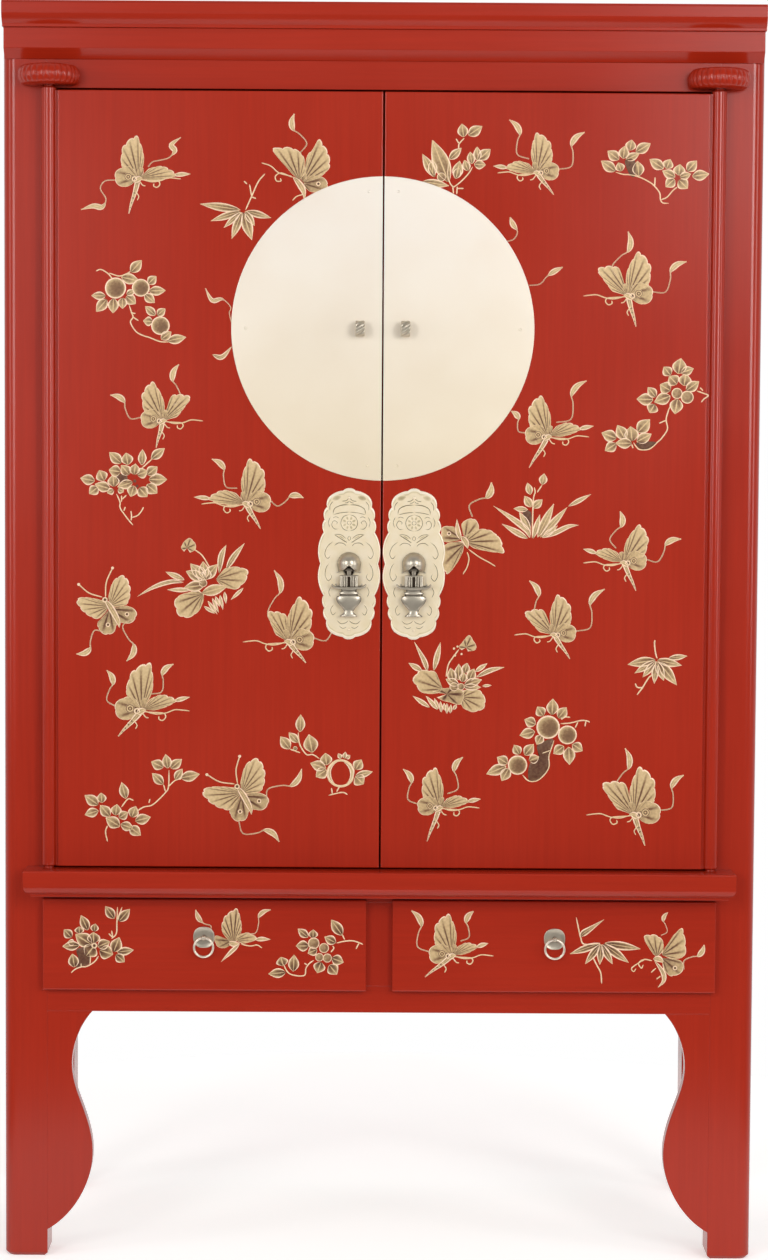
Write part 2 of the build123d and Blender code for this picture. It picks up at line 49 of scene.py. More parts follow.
# ------------------------------------------------------------------ camera
# A long lens stands in front of the cabinet at chest height and looks down a little.
# Its three turns are small: it was held nearly level and nearly square to the doors.
camera_place = (-0.0083, -4.808, 1.2402)
camera_yaw = math.radians(0.1585)
camera_pitch = math.radians(3.5664)
camera_roll = math.radians(0.3433)
camera = bpy.data.cameras.new("camera")
camera.sensor_fit = "VERTICAL"
camera.sensor_height = 36.0
camera.lens = 87.95
camera.clip_end = 60.0
camera_object = bpy.data.objects.new("camera", camera)
scene.collection.objects.link(camera_object)
ahead = Vector((math.sin(camera_yaw) * math.cos(camera_pitch),
                math.cos(camera_yaw) * math.cos(camera_pitch), -math.sin(camera_pitch)))
level = Vector((math.cos(camera_yaw), -math.sin(camera_yaw), 0.0))
upward = level.cross(ahead)
right_hand = math.cos(camera_roll) * level + math.sin(camera_roll) * upward
top_side = math.cos(camera_roll) * upward - math.sin(camera_roll) * level
turn = Matrix((right_hand, top_side, -ahead)).transposed().to_4x4()
camera_object.matrix_world = Matrix.Translation(camera_place) @ turn
scene.camera = camera_object


# ------------------------------------------------------------------ studio
# A pale floor, two tall soft boxes in front of the cabinet, weaker ones further round to the
# sides, and a soft even room. The room is white to the camera and dim in front to the lacquer.
floor_radius = 1.35
paper_glow = 0.42
room_ahead_of_doors = 0.10
room_behind = 0.9
room_on_matt = 0.46
lamp_aim = Vector((0, 0, 1.15))


def linear(hex_colour):
    """sRGB hex to linear: the low part is a straight line, the rest a power of 2.4."""
    parts = np.array([int(hex_colour[i:i + 2], 16) / 255 for i in (1, 3, 5)])
    curve = np.where(parts <= 0.04045, parts / 12.92, ((parts + 0.055) / 1.055) ** 2.4)
    return (*curve.tolist(), 1.0)


def add_node(tree, kind, settings=None, inputs=None):
    """Add one shader node, set its properties, and fill or link its sockets."""
    node = tree.nodes.new("ShaderNode" + kind)
    for name, value in (settings or {}).items():
        setattr(node, name, value)
    for name, value in (inputs or {}).items():
        if isinstance(value, bpy.types.NodeSocket):
            tree.links.new(value, node.inputs[name])
        else:
            node.inputs[name].default_value = value
    return node


def start_material(name):
    """A new material with its tree emptied, and its output node."""
    material = bpy.data.materials.new(name)
    material.use_nodes = True
    material.node_tree.nodes.clear()
    return material, material.node_tree, add_node(material.node_tree, "OutputMaterial")


def floor_paper():
    """White paper: matt, and lifted to white where the camera or a reflection sees it."""
    material, tree, output = start_material("white_paper_floor")
    path = add_node(tree, "LightPath")
    seen = add_node(tree, "Math", {"operation": "MAXIMUM"},
                    {0: path.outputs["Is Camera Ray"], 1: path.outputs["Is Glossy Ray"]})
    seen = add_node(tree, "Math", {"operation": "MAXIMUM"},
                    {0: seen.outputs[0], 1: path.outputs["Is Transmission Ray"]})
    lift = add_node(tree, "Math", {"operation": "MULTIPLY"}, {0: seen.outputs[0], 1: paper_glow})
    matt = add_node(tree, "BsdfDiffuse", inputs={"Color": linear("#f4f4f2")})
    glow = add_node(tree, "Emission", inputs={"Color": (1, 1, 1, 1), "Strength": lift.outputs[0]})
    both = add_node(tree, "AddShader", inputs={0: matt.outputs[0], 1: glow.outputs[0]})
    tree.links.new(both.outputs[0], output.inputs["Surface"])
    return material


floor_angles = np.linspace(0, 2 * np.pi, 96, endpoint=False)
floor_rim = np.stack([floor_radius * np.cos(floor_angles), floor_radius * np.sin(floor_angles),
                      0 * floor_angles], 1)
floor_mesh = bpy.data.meshes.new("floor")
floor_mesh.from_pydata(floor_rim.tolist(), [], [list(range(len(floor_rim)))])
floor_mesh.materials.append(floor_paper())
floor = bpy.data.objects.new("floor", floor_mesh)
scene.collection.objects.link(floor)

world = bpy.data.worlds.new("room")
scene.world = world
world.use_nodes = True
room = world.node_tree
room.nodes.clear()
room_path = add_node(room, "LightPath")
room_way = add_node(room, "TexCoord")
room_axes = add_node(room, "SeparateXYZ", inputs={0: room_way.outputs["Generated"]})
room_back = add_node(room, "MapRange",
                     inputs={"Value": room_axes.outputs["Y"], "From Min": -0.6, "From Max": 0.5,
                             "To Min": room_ahead_of_doors, "To Max": room_behind})
room_even = add_node(room, "Mix", {"data_type": "FLOAT"},
                     {"Factor": room_path.outputs["Is Glossy Ray"], "A": room_on_matt,
                      "B": room_back.outputs[0]})
room_seen = add_node(room, "Mix", {"data_type": "FLOAT"},
                     {"Factor": room_path.outputs["Is Camera Ray"], "A": room_even.outputs[0], "B": 1.0})
room_light = add_node(room, "Background", inputs={"Color": linear("#ffffff"),
                                                  "Strength": room_seen.outputs[0]})
add_node(room, "OutputWorld", inputs={"Surface": room_light.outputs[0]})


def soft_box(name, azimuth, distance, height, size, power):
    """A rectangular lamp at an azimuth from straight ahead of the doors, aimed at their middle."""
    lamp = bpy.data.lights.new(name, "AREA")
    lamp.shape = "RECTANGLE"
    lamp.size, lamp.size_y = size
    lamp.energy = power
    lamp_object = bpy.data.objects.new(name, lamp)
    scene.collection.objects.link(lamp_object)
    angle = math.radians(azimuth)
    place = Vector((distance * math.sin(angle), -distance * math.cos(angle), height))
    facing = (lamp_aim - place).to_track_quat("-Z", "Y").to_matrix().to_4x4()
    lamp_object.matrix_world = Matrix.Translation(place) @ facing


soft_box("left_soft_box", -28, 4.2, 1.9, (0.9, 1.8), 36)
soft_box("right_soft_box", 28, 4.2, 2.0, (0.9, 1.8), 44)
soft_box("left_side_soft_box", -60, 4.0, 1.6, (0.8, 1.8), 16)
soft_box("right_side_soft_box", 60, 4.0, 1.6, (0.8, 1.8), 20)
soft_box("rear_soft_box", 180, 4.0, 2.6, (2.0, 1.2), 40)
soft_box("right_window", 16, 6.4, 2.7, (1.6, 1.8), 24)
soft_box("left_window", -15, 6.4, 2.3, (1.4, 2.2), 7)


# ------------------------------------------------------------------ red lacquered case
# Elm boards under many thin coats of red lacquer, rubbed down and polished. The frame is joined
# with mortises and tenons; the panels float in it. The film rounds every arris a little.
mm = 0.001
cloud_width = 384.6
grain_width = 5.263
ripple_width = 16.67
chip_width = 29.41
arris_radius = 1.6


def repeats(width):
    """A pattern's scale from its real width in mm: how many widths go into a metre."""
    return 1 / (width * mm)


def lacquer(name, grain_axis):
    """Red lacquer: a deep even red with cloudy coats, faint grain and rubbed, duller arrises.

    grain_axis is 0, 1 or 2: the direction that the boards' grain runs in.
    """
    material, tree, output = start_material(name)
    place = add_node(tree, "TexCoord").outputs["Object"]
    clouds = add_node(tree, "TexNoise", inputs={"Vector": place, "Scale": repeats(cloud_width),
                                                "Detail": 3.0, "Roughness": 0.5})
    stretch = [1.0, 1.0, 1.0]
    stretch[grain_axis] = 0.03
    along = add_node(tree, "Mapping", inputs={"Vector": place, "Scale": stretch})
    grain = add_node(tree, "TexNoise", inputs={"Vector": along.outputs[0], "Scale": repeats(grain_width),
                                               "Detail": 4.0, "Roughness": 0.65})
    red = add_node(tree, "Mix", {"data_type": "RGBA"},
                   {"Factor": clouds.outputs["Fac"], "A": linear("#a22613"), "B": linear("#b02c14")})
    shade = add_node(tree, "MapRange", inputs={"Value": grain.outputs["Fac"], "From Min": 0.3,
                                               "From Max": 0.7, "To Min": 0.93, "To Max": 1.05})
    red = add_node(tree, "VectorMath", {"operation": "SCALE"},
                   {0: red.outputs["Result"], "Scale": shade.outputs[0]})
    arris = add_node(tree, "Bevel", {"samples": 6}, {"Radius": arris_radius * mm})
    flat = add_node(tree, "NewGeometry")
    facing = add_node(tree, "VectorMath", {"operation": "DOT_PRODUCT"},
                      {0: arris.outputs[0], 1: flat.outputs["Normal"]})
    chips = add_node(tree, "TexNoise", inputs={"Vector": place, "Scale": repeats(chip_width),
                                               "Detail": 5.0, "Roughness": 0.7})
    edge = add_node(tree, "MapRange", inputs={"Value": facing.outputs["Value"], "From Min": 0.985,
                                              "From Max": 0.86, "To Min": 0.0, "To Max": 1.0})
    worn = add_node(tree, "MapRange", inputs={"Value": chips.outputs["Fac"], "From Min": 0.60,
                                              "From Max": 0.72, "To Min": 0.0, "To Max": 0.55})
    worn = add_node(tree, "Math", {"operation": "MULTIPLY"}, {0: worn.outputs[0], 1: edge.outputs[0]})
    skin = add_node(tree, "Mix", {"data_type": "RGBA"},
                    {"Factor": worn.outputs[0], "A": red.outputs[0], "B": linear("#4a1409")})
    ripple = add_node(tree, "TexNoise", inputs={"Vector": along.outputs[0],
                                                "Scale": repeats(ripple_width), "Detail": 2.0})
    bump = add_node(tree, "Bump", inputs={"Strength": 0.05, "Distance": 0.6 * mm,
                                          "Height": ripple.outputs["Fac"], "Normal": arris.outputs[0]})
    gloss = add_node(tree, "MapRange", inputs={"Value": clouds.outputs["Fac"], "From Min": 0.3,
                                               "From Max": 0.7, "To Min": 0.17, "To Max": 0.24})
    film = add_node(tree, "BsdfPrincipled",
                    inputs={"Base Color": skin.outputs["Result"], "Roughness": gloss.outputs[0],
                            "IOR": 1.5, "Specular IOR Level": 0.4, "Normal": bump.outputs[0]})
    tree.links.new(film.outputs[0], output.inputs["Surface"])
    return material


def dress(node_names, material):
    """Give CAD nodes a finish in place of the one they were packed with."""
    for node_name in node_names:
        mesh = nodes[node_name].data
        mesh.materials.clear()
        mesh.materials.append(material)


def both_sides(*names):
    """The left and the right node of each name."""
    return [side + name for name in names for side in ("left_", "right_")]


upright_lacquer = lacquer("red_lacquer_upright_grain", 2)
level_lacquer = lacquer("red_lacquer_level_grain", 0)
side_lacquer = lacquer("red_lacquer_side_rails", 1)
dress(["front_left_post", "front_right_post", "rear_left_post", "rear_right_post", "rear_muntin",
       "drawer_stile", "back_panels", *both_sides("side_panel", "leg_bracket")], upright_lacquer)
dress(["crown_moulding", "frieze_board", "top_board", "top_front_rail", "middle_front_rail",
       "front_apron_rail", "top_rear_rail", "bottom_rear_rail", "pivot_ledge"], level_lacquer)
dress(both_sides("top_side_rail", "bottom_side_rail"), side_lacquer)


# ------------------------------------------------------------------ pivot sockets
# Flattened melons carved from solid wood and nailed to the top rail. Gadroons run round them,
# with a row of small petals above, and the door's dowel turns in a hole underneath.
lobe_count = 28
groove_depth = 2.3
petal_depth = 1.3
belly_inset = 1.2
shoulder_fall = 9.0
dowel_hole = 7.05
hole_depth = 18
# Points nearer than a gap are merged: a wide one at seams, a fine one between painted films.
seam_gap = 0.01
film_gap = 0.0004
sliver = 0.001


def box_mm(node_name):
    """A node's box in mm: its low corner, high corner, middle and half size."""
    low, high = (np.array(corner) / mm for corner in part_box(node_name))
    return low, high, (low + high) / 2, (high - low) / 2


def sheet(points, wrap_rows=False, wrap_columns=False):
    """Points in rows and columns, with the corner numbers of the four-sided faces between them."""
    rows, columns = points.shape[:2]
    row = np.arange(rows if wrap_rows else rows - 1)[:, None]
    column = np.arange(columns if wrap_columns else columns - 1)[None, :]
    next_row = (row + 1) % rows
    next_column = (column + 1) % columns
    corners = [row * columns + column, row * columns + next_column,
               next_row * columns + next_column, next_row * columns + column]
    return points, np.stack(np.broadcast_arrays(*corners), -1).reshape(-1, 4)


def piece(name, sheets, material, body, stands_for=(), closed=True, tones=None):
    """Make one object of several sheets, whose points are in mm.

    Doubles at poles and seams are merged. A closed form's normals are then turned outwards, and
    what lies open on a board has each face that looks into the board turned over.
    """
    points, faces, start = [], [], 0
    for sheet_points, sheet_faces in sheets:
        points.append(sheet_points.reshape(-1, 3))
        faces.append(sheet_faces + start)
        start += len(points[-1])
    mesh = bpy.data.meshes.new(name)
    mesh.from_pydata((np.concatenate(points) * mm).tolist(), [], np.concatenate(faces).tolist())
    if tones is not None:
        layer = mesh.attributes.new("tone", "FLOAT", "POINT")
        layer.data.foreach_set("value", np.concatenate(tones).astype(np.float32))
    work = bmesh.new()
    work.from_mesh(mesh)
    bmesh.ops.remove_doubles(work, verts=work.verts, dist=(seam_gap if closed else film_gap) * mm)
    if closed:
        bmesh.ops.dissolve_degenerate(work, edges=work.edges, dist=sliver * mm)
        bmesh.ops.recalc_face_normals(work, faces=work.faces)
    else:
        work.normal_update()
        bmesh.ops.reverse_faces(work, faces=[face for face in work.faces if face.normal.y > 0])
    work.to_mesh(mesh)
    work.free()
    mesh.polygons.foreach_set("use_smooth", np.ones(len(mesh.polygons), bool))
    mesh.materials.append(material)
    thing = bpy.data.objects.new(name, mesh)
    scene.collection.objects.link(thing)
    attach(thing, body)
    if stands_for:
        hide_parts(*stands_for)


def melon(side):
    """A turned profile whose radius swells and sinks round the axis, flattened on the rail.

    Round the axis the radius loses a groove's depth where the cosine of the lobes is lowest.
    Above the waist a second, softer wave with half as many lobes makes the petals.
    """
    low, high, middle, half = box_mm(side + "_pivot_socket")
    axis_y = box_mm(side + "_pivot_stile")[2][1]
    height = high[2] - low[2]
    rise = np.linspace(-1, 1, 27)
    flank = half[0] - shoulder_fall * (1 - np.sqrt(1 - 0.999 * rise ** 2)) - belly_inset
    profile_r = np.concatenate([[0, dowel_hole, dowel_hole, 22, 31], flank, [33, 27, 16, 0]])
    profile_z = np.concatenate([[hole_depth, hole_depth, 0.2, 0, 0], height / 2 * (1 + 0.94 * rise),
                                [height - 0.3, height - 0.6, height, height]])
    groove = np.concatenate([[0] * 4, [0.15], 0.35 + 0.65 * np.sqrt(1 - rise ** 2), [0.3, 0.15, 0, 0]])
    petal = np.concatenate([[0] * 5, np.clip(rise, 0, 1), [0.9, 0.5, 0, 0]])
    angle = np.linspace(0, 2 * np.pi, lobe_count * 10, endpoint=False)[None, :]
    lobe = np.abs(np.cos(lobe_count / 2 * angle)) ** 0.6
    leaf = np.abs(np.sin(lobe_count / 4 * angle)) ** 0.5
    reach = (profile_r[:, None] - groove_depth * groove[:, None] * (1 - lobe)
             - petal_depth * petal[:, None] * (1 - leaf))
    x = middle[0] + reach * np.cos(angle)
    y = np.minimum(axis_y + reach * np.sin(angle), high[1])
    return sheet(np.stack([x, y, low[2] + profile_z[:, None] + 0 * angle], -1), wrap_columns=True)


for side in ("left", "right"):
    piece(side + "_carved_socket", [melon(side)], level_lacquer, "case",
          [side + "_pivot_socket"])


# ------------------------------------------------------------------ inside boards
# Planed fir, left bare. The cupboard's floor and shelf lie on cleats, battens run across the
# backs of the doors, and the boarded drawers slide on runners.
def bare_fir(name, grain_axis):
    """Planed fir gone brown with age: bands of early and late wood along the board."""
    material, tree, output = start_material(name)
    place = add_node(tree, "TexCoord").outputs["Object"]
    stretch = [1.0, 1.0, 1.0]
    stretch[grain_axis] = 0.05
    along = add_node(tree, "Mapping", inputs={"Vector": place, "Scale": stretch})
    warp_width, band_width = 111.1, 14.29
    warp = add_node(tree, "TexNoise", inputs={"Vector": along.outputs[0], "Scale": repeats(warp_width),
                                              "Detail": 3.0})
    bands = add_node(tree, "TexNoise", inputs={"Vector": along.outputs[0], "Scale": repeats(band_width),
                                               "Detail": 5.0, "Roughness": 0.6})
    tone = add_node(tree, "Math", {"operation": "MULTIPLY_ADD"},
                    {0: warp.outputs["Fac"], 1: 0.6, 2: bands.outputs["Fac"]})
    ramp = add_node(tree, "MapRange", inputs={"Value": tone.outputs[0], "From Min": 0.55,
                                              "From Max": 1.05})
    wood = add_node(tree, "Mix", {"data_type": "RGBA"},
                    {"Factor": ramp.outputs[0], "A": linear("#6f4a2c"), "B": linear("#a5794d")})
    bump = add_node(tree, "Bump", inputs={"Strength": 0.25, "Distance": 0.4 * mm,
                                          "Height": bands.outputs["Fac"]})
    board = add_node(tree, "BsdfPrincipled",
                     inputs={"Base Color": wood.outputs["Result"], "Roughness": 0.62,
                             "Normal": bump.outputs[0]})
    tree.links.new(board.outputs[0], output.inputs["Surface"])
    return material


level_fir = bare_fir("bare_fir_level_grain", 0)
deep_fir = bare_fir("bare_fir_deep_grain", 1)
dress(["cupboard_floor", "shelf", *both_sides("door_battens", "drawer_back", "drawer_bottom")], level_fir)
dress(["board_cleats", "drawer_runners", *both_sides("drawer_sides")], deep_fir)

# ------------------------------------------------------------------ doors
# Each door is a lacquered panel tongued into a round stile, whose dowels turn in the ledge and
# the socket. The drawers' fronts are cut from one board and take the same lacquer.
dress(both_sides("door_panel", "pivot_stile"), upright_lacquer)
dress(both_sides("drawer_front"), level_lacquer)

# ------------------------------------------------------------------ raised gold painting
# Butterflies, sprays and fruit laid on in thickened lacquer, gilded while tacky and inked brown
# in their folds. Each stroke is a low mound with its foot sunk in the red lacquer.
# The pattern is set out in columns and rows of the camera's frame and cast onto the board.
# A stroke's width is in columns too; how deep and high it stands is in mm.
view_width, view_height = 768, 1260
focal_length = camera.lens * view_height / camera.sensor_height
foot_depth = 0.10
film_height = 0.28
step_height = 0.0022
blotch_width = 3.846
rub_width = 1.613
rim_width = 1.0
leaf_fullness = 1.14


def smooth(points, steps, closed=False):
    """A smooth curve through points: each span is a Catmull-Rom cubic, in steps parts."""
    points = np.asarray(points, float)
    if closed:
        padded = np.concatenate([points[-1:], points, points[:2]])
    else:
        padded = np.concatenate([2 * points[:1] - points[1:2], points, 2 * points[-1:] - points[-2:-1]])
    share = np.linspace(0, 1, steps, endpoint=False)[None, :, None]
    before, start, end, after = (part[:, None, :]
                                 for part in (padded[:-3], padded[1:-2], padded[2:-1], padded[3:]))
    curve = 0.5 * (2 * start + (end - before) * share
                   + (2 * before - 5 * start + 4 * end - after) * share ** 2
                   + (3 * start - before - 3 * end + after) * share ** 3)
    curve = curve.reshape(-1, points.shape[1])
    return curve if closed else np.concatenate([curve, points[-1:]])


def on_board(points, board_y):
    """Where the camera's rays through columns and rows of its frame meet the plane of a board."""
    across = points[..., 0, None] - view_width / 2
    down = points[..., 1, None] - view_height / 2
    rays = np.array(ahead) * focal_length + np.array(right_hand) * across - np.array(top_side) * down
    reach = (board_y - camera_place[1]) / rays[..., 1]
    return (np.array(camera_place) + reach[..., None] * rays) / mm


def gilding():
    """Gilt lacquer: brown ink in the folds, tan gold on the body, pale gold on the raised lines."""
    material, tree, output = start_material("gilt_raised_lacquer")
    tone = add_node(tree, "Attribute", {"attribute_name": "tone"})
    place = add_node(tree, "TexCoord").outputs["Object"]
    blotches = add_node(tree, "TexNoise", inputs={"Vector": place, "Scale": repeats(blotch_width),
                                                  "Detail": 4.0})
    shift = add_node(tree, "MapRange", inputs={"Value": blotches.outputs["Fac"], "From Min": 0.3,
                                               "From Max": 0.7, "To Min": -0.09, "To Max": 0.07})
    mixed = add_node(tree, "Math", {"operation": "ADD"}, {0: tone.outputs["Fac"], 1: shift.outputs[0]})
    ramp = add_node(tree, "ValToRGB", inputs={"Fac": mixed.outputs[0]})
    stops = ramp.color_ramp.elements
    for share, hex_colour in ((0.3, "#8c6948"), (0.6, "#d3b484"), (0.8, "#ebcd9c")):
        stops.new(share).color = linear(hex_colour)
    stops[0].color = linear("#5a3020")
    stops[-1].color = linear("#ffdfc2")
    rubbed = add_node(tree, "TexNoise", inputs={"Vector": place, "Scale": repeats(rub_width),
                                                "Detail": 3.0})
    bare = add_node(tree, "MapRange", inputs={"Value": rubbed.outputs["Fac"], "From Min": 0.66,
                                              "From Max": 0.74, "To Max": 0.6})
    skin = add_node(tree, "Mix", {"data_type": "RGBA"},
                    {"Factor": bare.outputs[0], "A": ramp.outputs["Color"], "B": linear("#a8402a")})
    bump = add_node(tree, "Bump", inputs={"Strength": 0.25, "Distance": 0.2 * mm,
                                          "Height": blotches.outputs["Fac"]})
    gilt = add_node(tree, "BsdfPrincipled",
                    inputs={"Base Color": skin.outputs["Result"], "Metallic": 0.2, "Roughness": 0.45,
                            "Normal": bump.outputs[0]})
    tree.links.new(gilt.outputs[0], output.inputs["Surface"])
    return material


gilt = gilding()


def pointed(share):
    """Half width of a leaf along its length: a parabola, fullest a little before its middle.

    Raised to a power, it draws both ends out to a point.
    """
    skewed = share ** 0.85
    return 1.1 * (4 * skewed * (1 - skewed)) ** 1.25


def thin(share):
    """Half width of a line: even, with both of its ends drawn out fine."""
    return np.clip(10 * np.minimum(share, 1 - share) + 0.35, 0, 1)


def ribboned(share):
    """Half width of a ribbon: a thin line that swells to a leaf in its last two fifths."""
    return np.maximum(0.17, np.sin(np.pi * np.clip((share - 0.56) / 0.44, 0, 1) ** 0.8))


def mirrored(values):
    """The values from a rim to the middle, and the same ones back out to the other rim."""
    return np.concatenate([values, values[-2::-1]])


def sideways(path):
    """Unit vectors square to a path: its direction turned by a quarter."""
    along = np.gradient(path, axis=0)
    along /= np.linalg.norm(along, axis=1)[:, None] + 1e-9
    return np.stack([-along[:, 1], along[:, 0]], 1)


def strip(path, reach, columns):
    """Rows along a path, whose columns stand at shares of the row's reach to either side."""
    return path[:, None, :] + sideways(path)[:, None, :] * (reach[:, None] * columns)[..., None]


def blade(path, width, outline=pointed, shade=0.45):
    """A leaf or ribbon: rows along a smooth path, columns from rim to rim.

    The rim and the midrib are pale; between them the tone is darkest at the foot of the leaf.
    """
    path = smooth(path, 10 if len(path) == 2 else 5)
    share = np.linspace(0, 1, len(path))
    inner = 1 - min(rim_width / (width / 2), 0.5)
    half = np.array([1, 0.94, inner, inner - 0.07, inner / 2, 0.13, 0])
    columns = np.concatenate([-half, half[-2::-1]])
    ink = mirrored([0, 0, 0, 0.45, 1.0, 0.9, 0.0])
    gold = mirrored([1, 1, 1, 0.75, 0.68, 0.7, 0.82])
    ends = np.clip(20 * np.minimum(share, 1 - share), 0, 1)[:, None]
    lift = mirrored([0, 1, 1, 0.8, 0.85, 0.8, 1]) * ends
    return (strip(path, width / 2 * outline(share), columns), lift,
            gold - shade * ink * (1 - share[:, None]) ** 0.8)


def line(path, width, tone):
    """A drawn line: a narrow mound of one tone along a smooth path."""
    path = smooth(path, 6)
    reach = width / 2 * thin(np.linspace(0, 1, len(path)))
    lift = np.array([0, 1, 1, 0]) * np.ones((len(path), 1))
    return strip(path, reach, np.array([-1, -0.6, 0.6, 1])), lift, tone + 0 * lift


def fan(outline, root, ribs, shade=0.5, pale=0.72):
    """A wing or cupped leaf: rows from its root to a scalloped edge, with inked folds between ribs."""
    edge = smooth(outline, 8)
    travel = np.concatenate([[0], np.cumsum(np.linalg.norm(np.diff(edge, axis=0), axis=1))])
    share = np.linspace(0, 1, 10 * ribs + 1)
    edge = np.stack([np.interp(share * travel[-1], travel, edge[:, axis]) for axis in (0, 1)], 1)
    ring = np.array([0, 0.12, 0.28, 0.45, 0.62, 0.78, 0.89, 0.955, 0.975, 1.0])[:, None]
    scallop = 1 - 0.055 * (1 - np.abs(np.sin(np.pi * ribs * share)) ** 0.6)[None, :] * ring ** 2
    flat = np.asarray(root, float) + (edge[None, :, :] - root) * (ring * scallop)[..., None]
    fold = np.clip(np.cos(2 * np.pi * ribs * (share - 0.5 / ribs)), 0, 1)[None, :] ** 2.2
    tone = pale - 0.25 * (1 - ring) - 1.7 * shade * fold * np.clip(1.15 - ring * 1.15, 0, 1) ** 0.7
    tone = np.where(ring > 0.96, 1.0, tone)
    tone[:, [0, 1, -2, -1]] = 1.0
    lift = np.where(ring > 0.92, 1.0, 0.82) - 0.12 * fold
    lift[-1, :] = 0
    lift[:, [0, -1]] = 0
    return flat, lift, tone


ripe = (0.24, 0.27, 0.33, 0.5, 1.0, 1.0, 1.0)
berry = (0.42, 0.40, 0.36, 0.5, 1.0, 1.0, 1.0)
dark_eye = (0.0, 0.05, 0.9, 1.0, 1.0, 0.4, 0.3)
ringed_eye = (0.9, 0.1, 0.85, 0.12, 0.2, 0.95, 0.9)
joint_mark = (0.1, 0.1, 0.1, 0.1, 0.8, 0.8, 0.8)


def disc(x, y, radius, tones=ripe, side_light=0.14):
    """A round fruit or eye: rings of given tones, a little lighter towards the upper left."""
    ring = np.array([0, 0.35, 0.62, 0.83, 0.89, 0.96, 1.0])[:, None]
    angle = np.linspace(0, 2 * np.pi, 29)[None, :]
    flat = np.stack([x + radius * ring * np.cos(angle), y + radius * ring * np.sin(angle)], -1)
    tone = np.broadcast_to(tones, 7)[:, None] - side_light * ring * np.cos(angle - 0.7) * (ring < 0.85)
    return flat, np.array([0.9, 0.9, 0.88, 0.85, 1, 1, 0])[:, None] + 0 * angle, tone


def patch(outline):
    """A flat inked ground between stems, closed round its own middle."""
    edge = smooth(outline, 5, closed=True)
    edge = np.concatenate([edge, edge[:1]])
    middle = edge[:-1].mean(0)
    ring = np.array([0, 0.6, 0.97, 1.0])[:, None]
    flat = middle + (edge[None, :, :] - middle) * ring[..., None]
    lift = np.array([0.9, 0.9, 0.9, 0.0])[:, None] + 0 * edge[None, :, 0]
    return flat, lift, 0.06 + 0.05 * ring + 0 * lift


def round_path(x, y, radius, first, last):
    """Points along a circle's arc, from one angle in degrees to another, clockwise on the board."""
    angle = np.radians(np.linspace(first, last, 13))
    return np.stack([x + radius * np.cos(angle), y + radius * np.sin(angle)], 1)


def leaves(rows, shade=0.45):
    """Straight leaves, each from a foot to a tip with a width."""
    return [blade([(foot_x, foot_y), (tip_x, tip_y)], leaf_fullness * width, shade=shade)
            for foot_x, foot_y, tip_x, tip_y, width in rows]


def twigs(paths, width=1.4, tone=0.88):
    """Lines through lists of points."""
    return [line(path, width, tone) for path in paths]


def rounds(rows, *finish):
    """Discs, each from its middle and radius."""
    return [disc(*row, *finish) for row in rows]


def about(x, y, hand=1):
    """The two ways between points ahead of and above a thorax, and columns and rows of the frame."""
    def place(points):
        return np.asarray(points, float) * (hand, -1) + (x, y)

    def local(at):
        return hand * (at[0] - x), y - at[1]

    return place, local


def spun(points, old_tip, new_tip):
    """Turn and size points about their root so that one tip lands on another."""
    points = np.asarray(points, float)
    moved = (points[:, 0] + 1j * points[:, 1]) * complex(*new_tip) / complex(*old_tip)
    return np.stack([moved.real, moved.imag], 1)


def ribbon(start, tip, bow=0.28, width=6.4):
    """A streamer that swings to one side, then the other, and ends in a leaf."""
    start, tip = np.asarray(start, float), np.asarray(tip, float)
    way = tip - start
    aside = np.array([way[1], -way[0]]) * bow
    path = [start, start + 0.22 * way + 0.7 * aside, start + 0.48 * way + 0.2 * aside,
            start + 0.60 * way - 0.25 * aside, start + 0.80 * way - 0.32 * aside, tip]
    return blade(path, width, ribboned, 0.35)


big_tip = (8.2, 49)
big_wing = [(-2, 4), (-9, 10), (-14.5, 15.3), (-16, 22), (-14, 29), (-10.5, 38.8), (-3, 45), big_tip,
            (11, 39), (11.8, 28.6), (10.2, 18), (5, 7)]
tail_tip = (48.6, 13.9)
tail_wing = [(8, 12), (19.4, 16.5), (28.6, 14.6), (35.7, 11), (33, 8), (23.5, 3.4), (13.3, 0.6)]
wing_tail = [(32, 9.6), (40, 12), tail_tip]
raised_tip = (23, 33)
raised_wing = [(1, 10), (1, 24), (3, 30), (11, 33.5), raised_tip, (19.5, 21), (14, 8)]
inner_wing = [(2, 3), (-1.5, 7), (1, 13), (5, 13), (6, 7)]
hind_wing = [(-4, 11), (-12, 14.5), (-20, 13), (-26, 8), (-27.5, 1), (-24, -6), (-17, -9.5), (-9, -7),
             (-3, -2)]
streamer_roots = ((-25.5, 4.5), (9, 17))
thorax = [(-5, -4), (0, 0), (5, 1)]
front_leg = [(1, -2), (4, -6), (7, -7)]
abdomen_tip = (-23.5, -25.5)
abdomen = [(-2, -2), (-9, -10), (-17, -18), abdomen_tip]
abdomen_joints = (0.35, 0.5, 0.65, 0.8)
curled_feeler = [(3, -1), (15.3, -1.6), (22.4, -2.5), (24, -6.1), (21, -9.4), (17.3, -8), (17.4, -5)]
long_feeler = [(3, 0), (14, -3), (24, -2), (33, 1.2), (40, 1), (48, 0)]


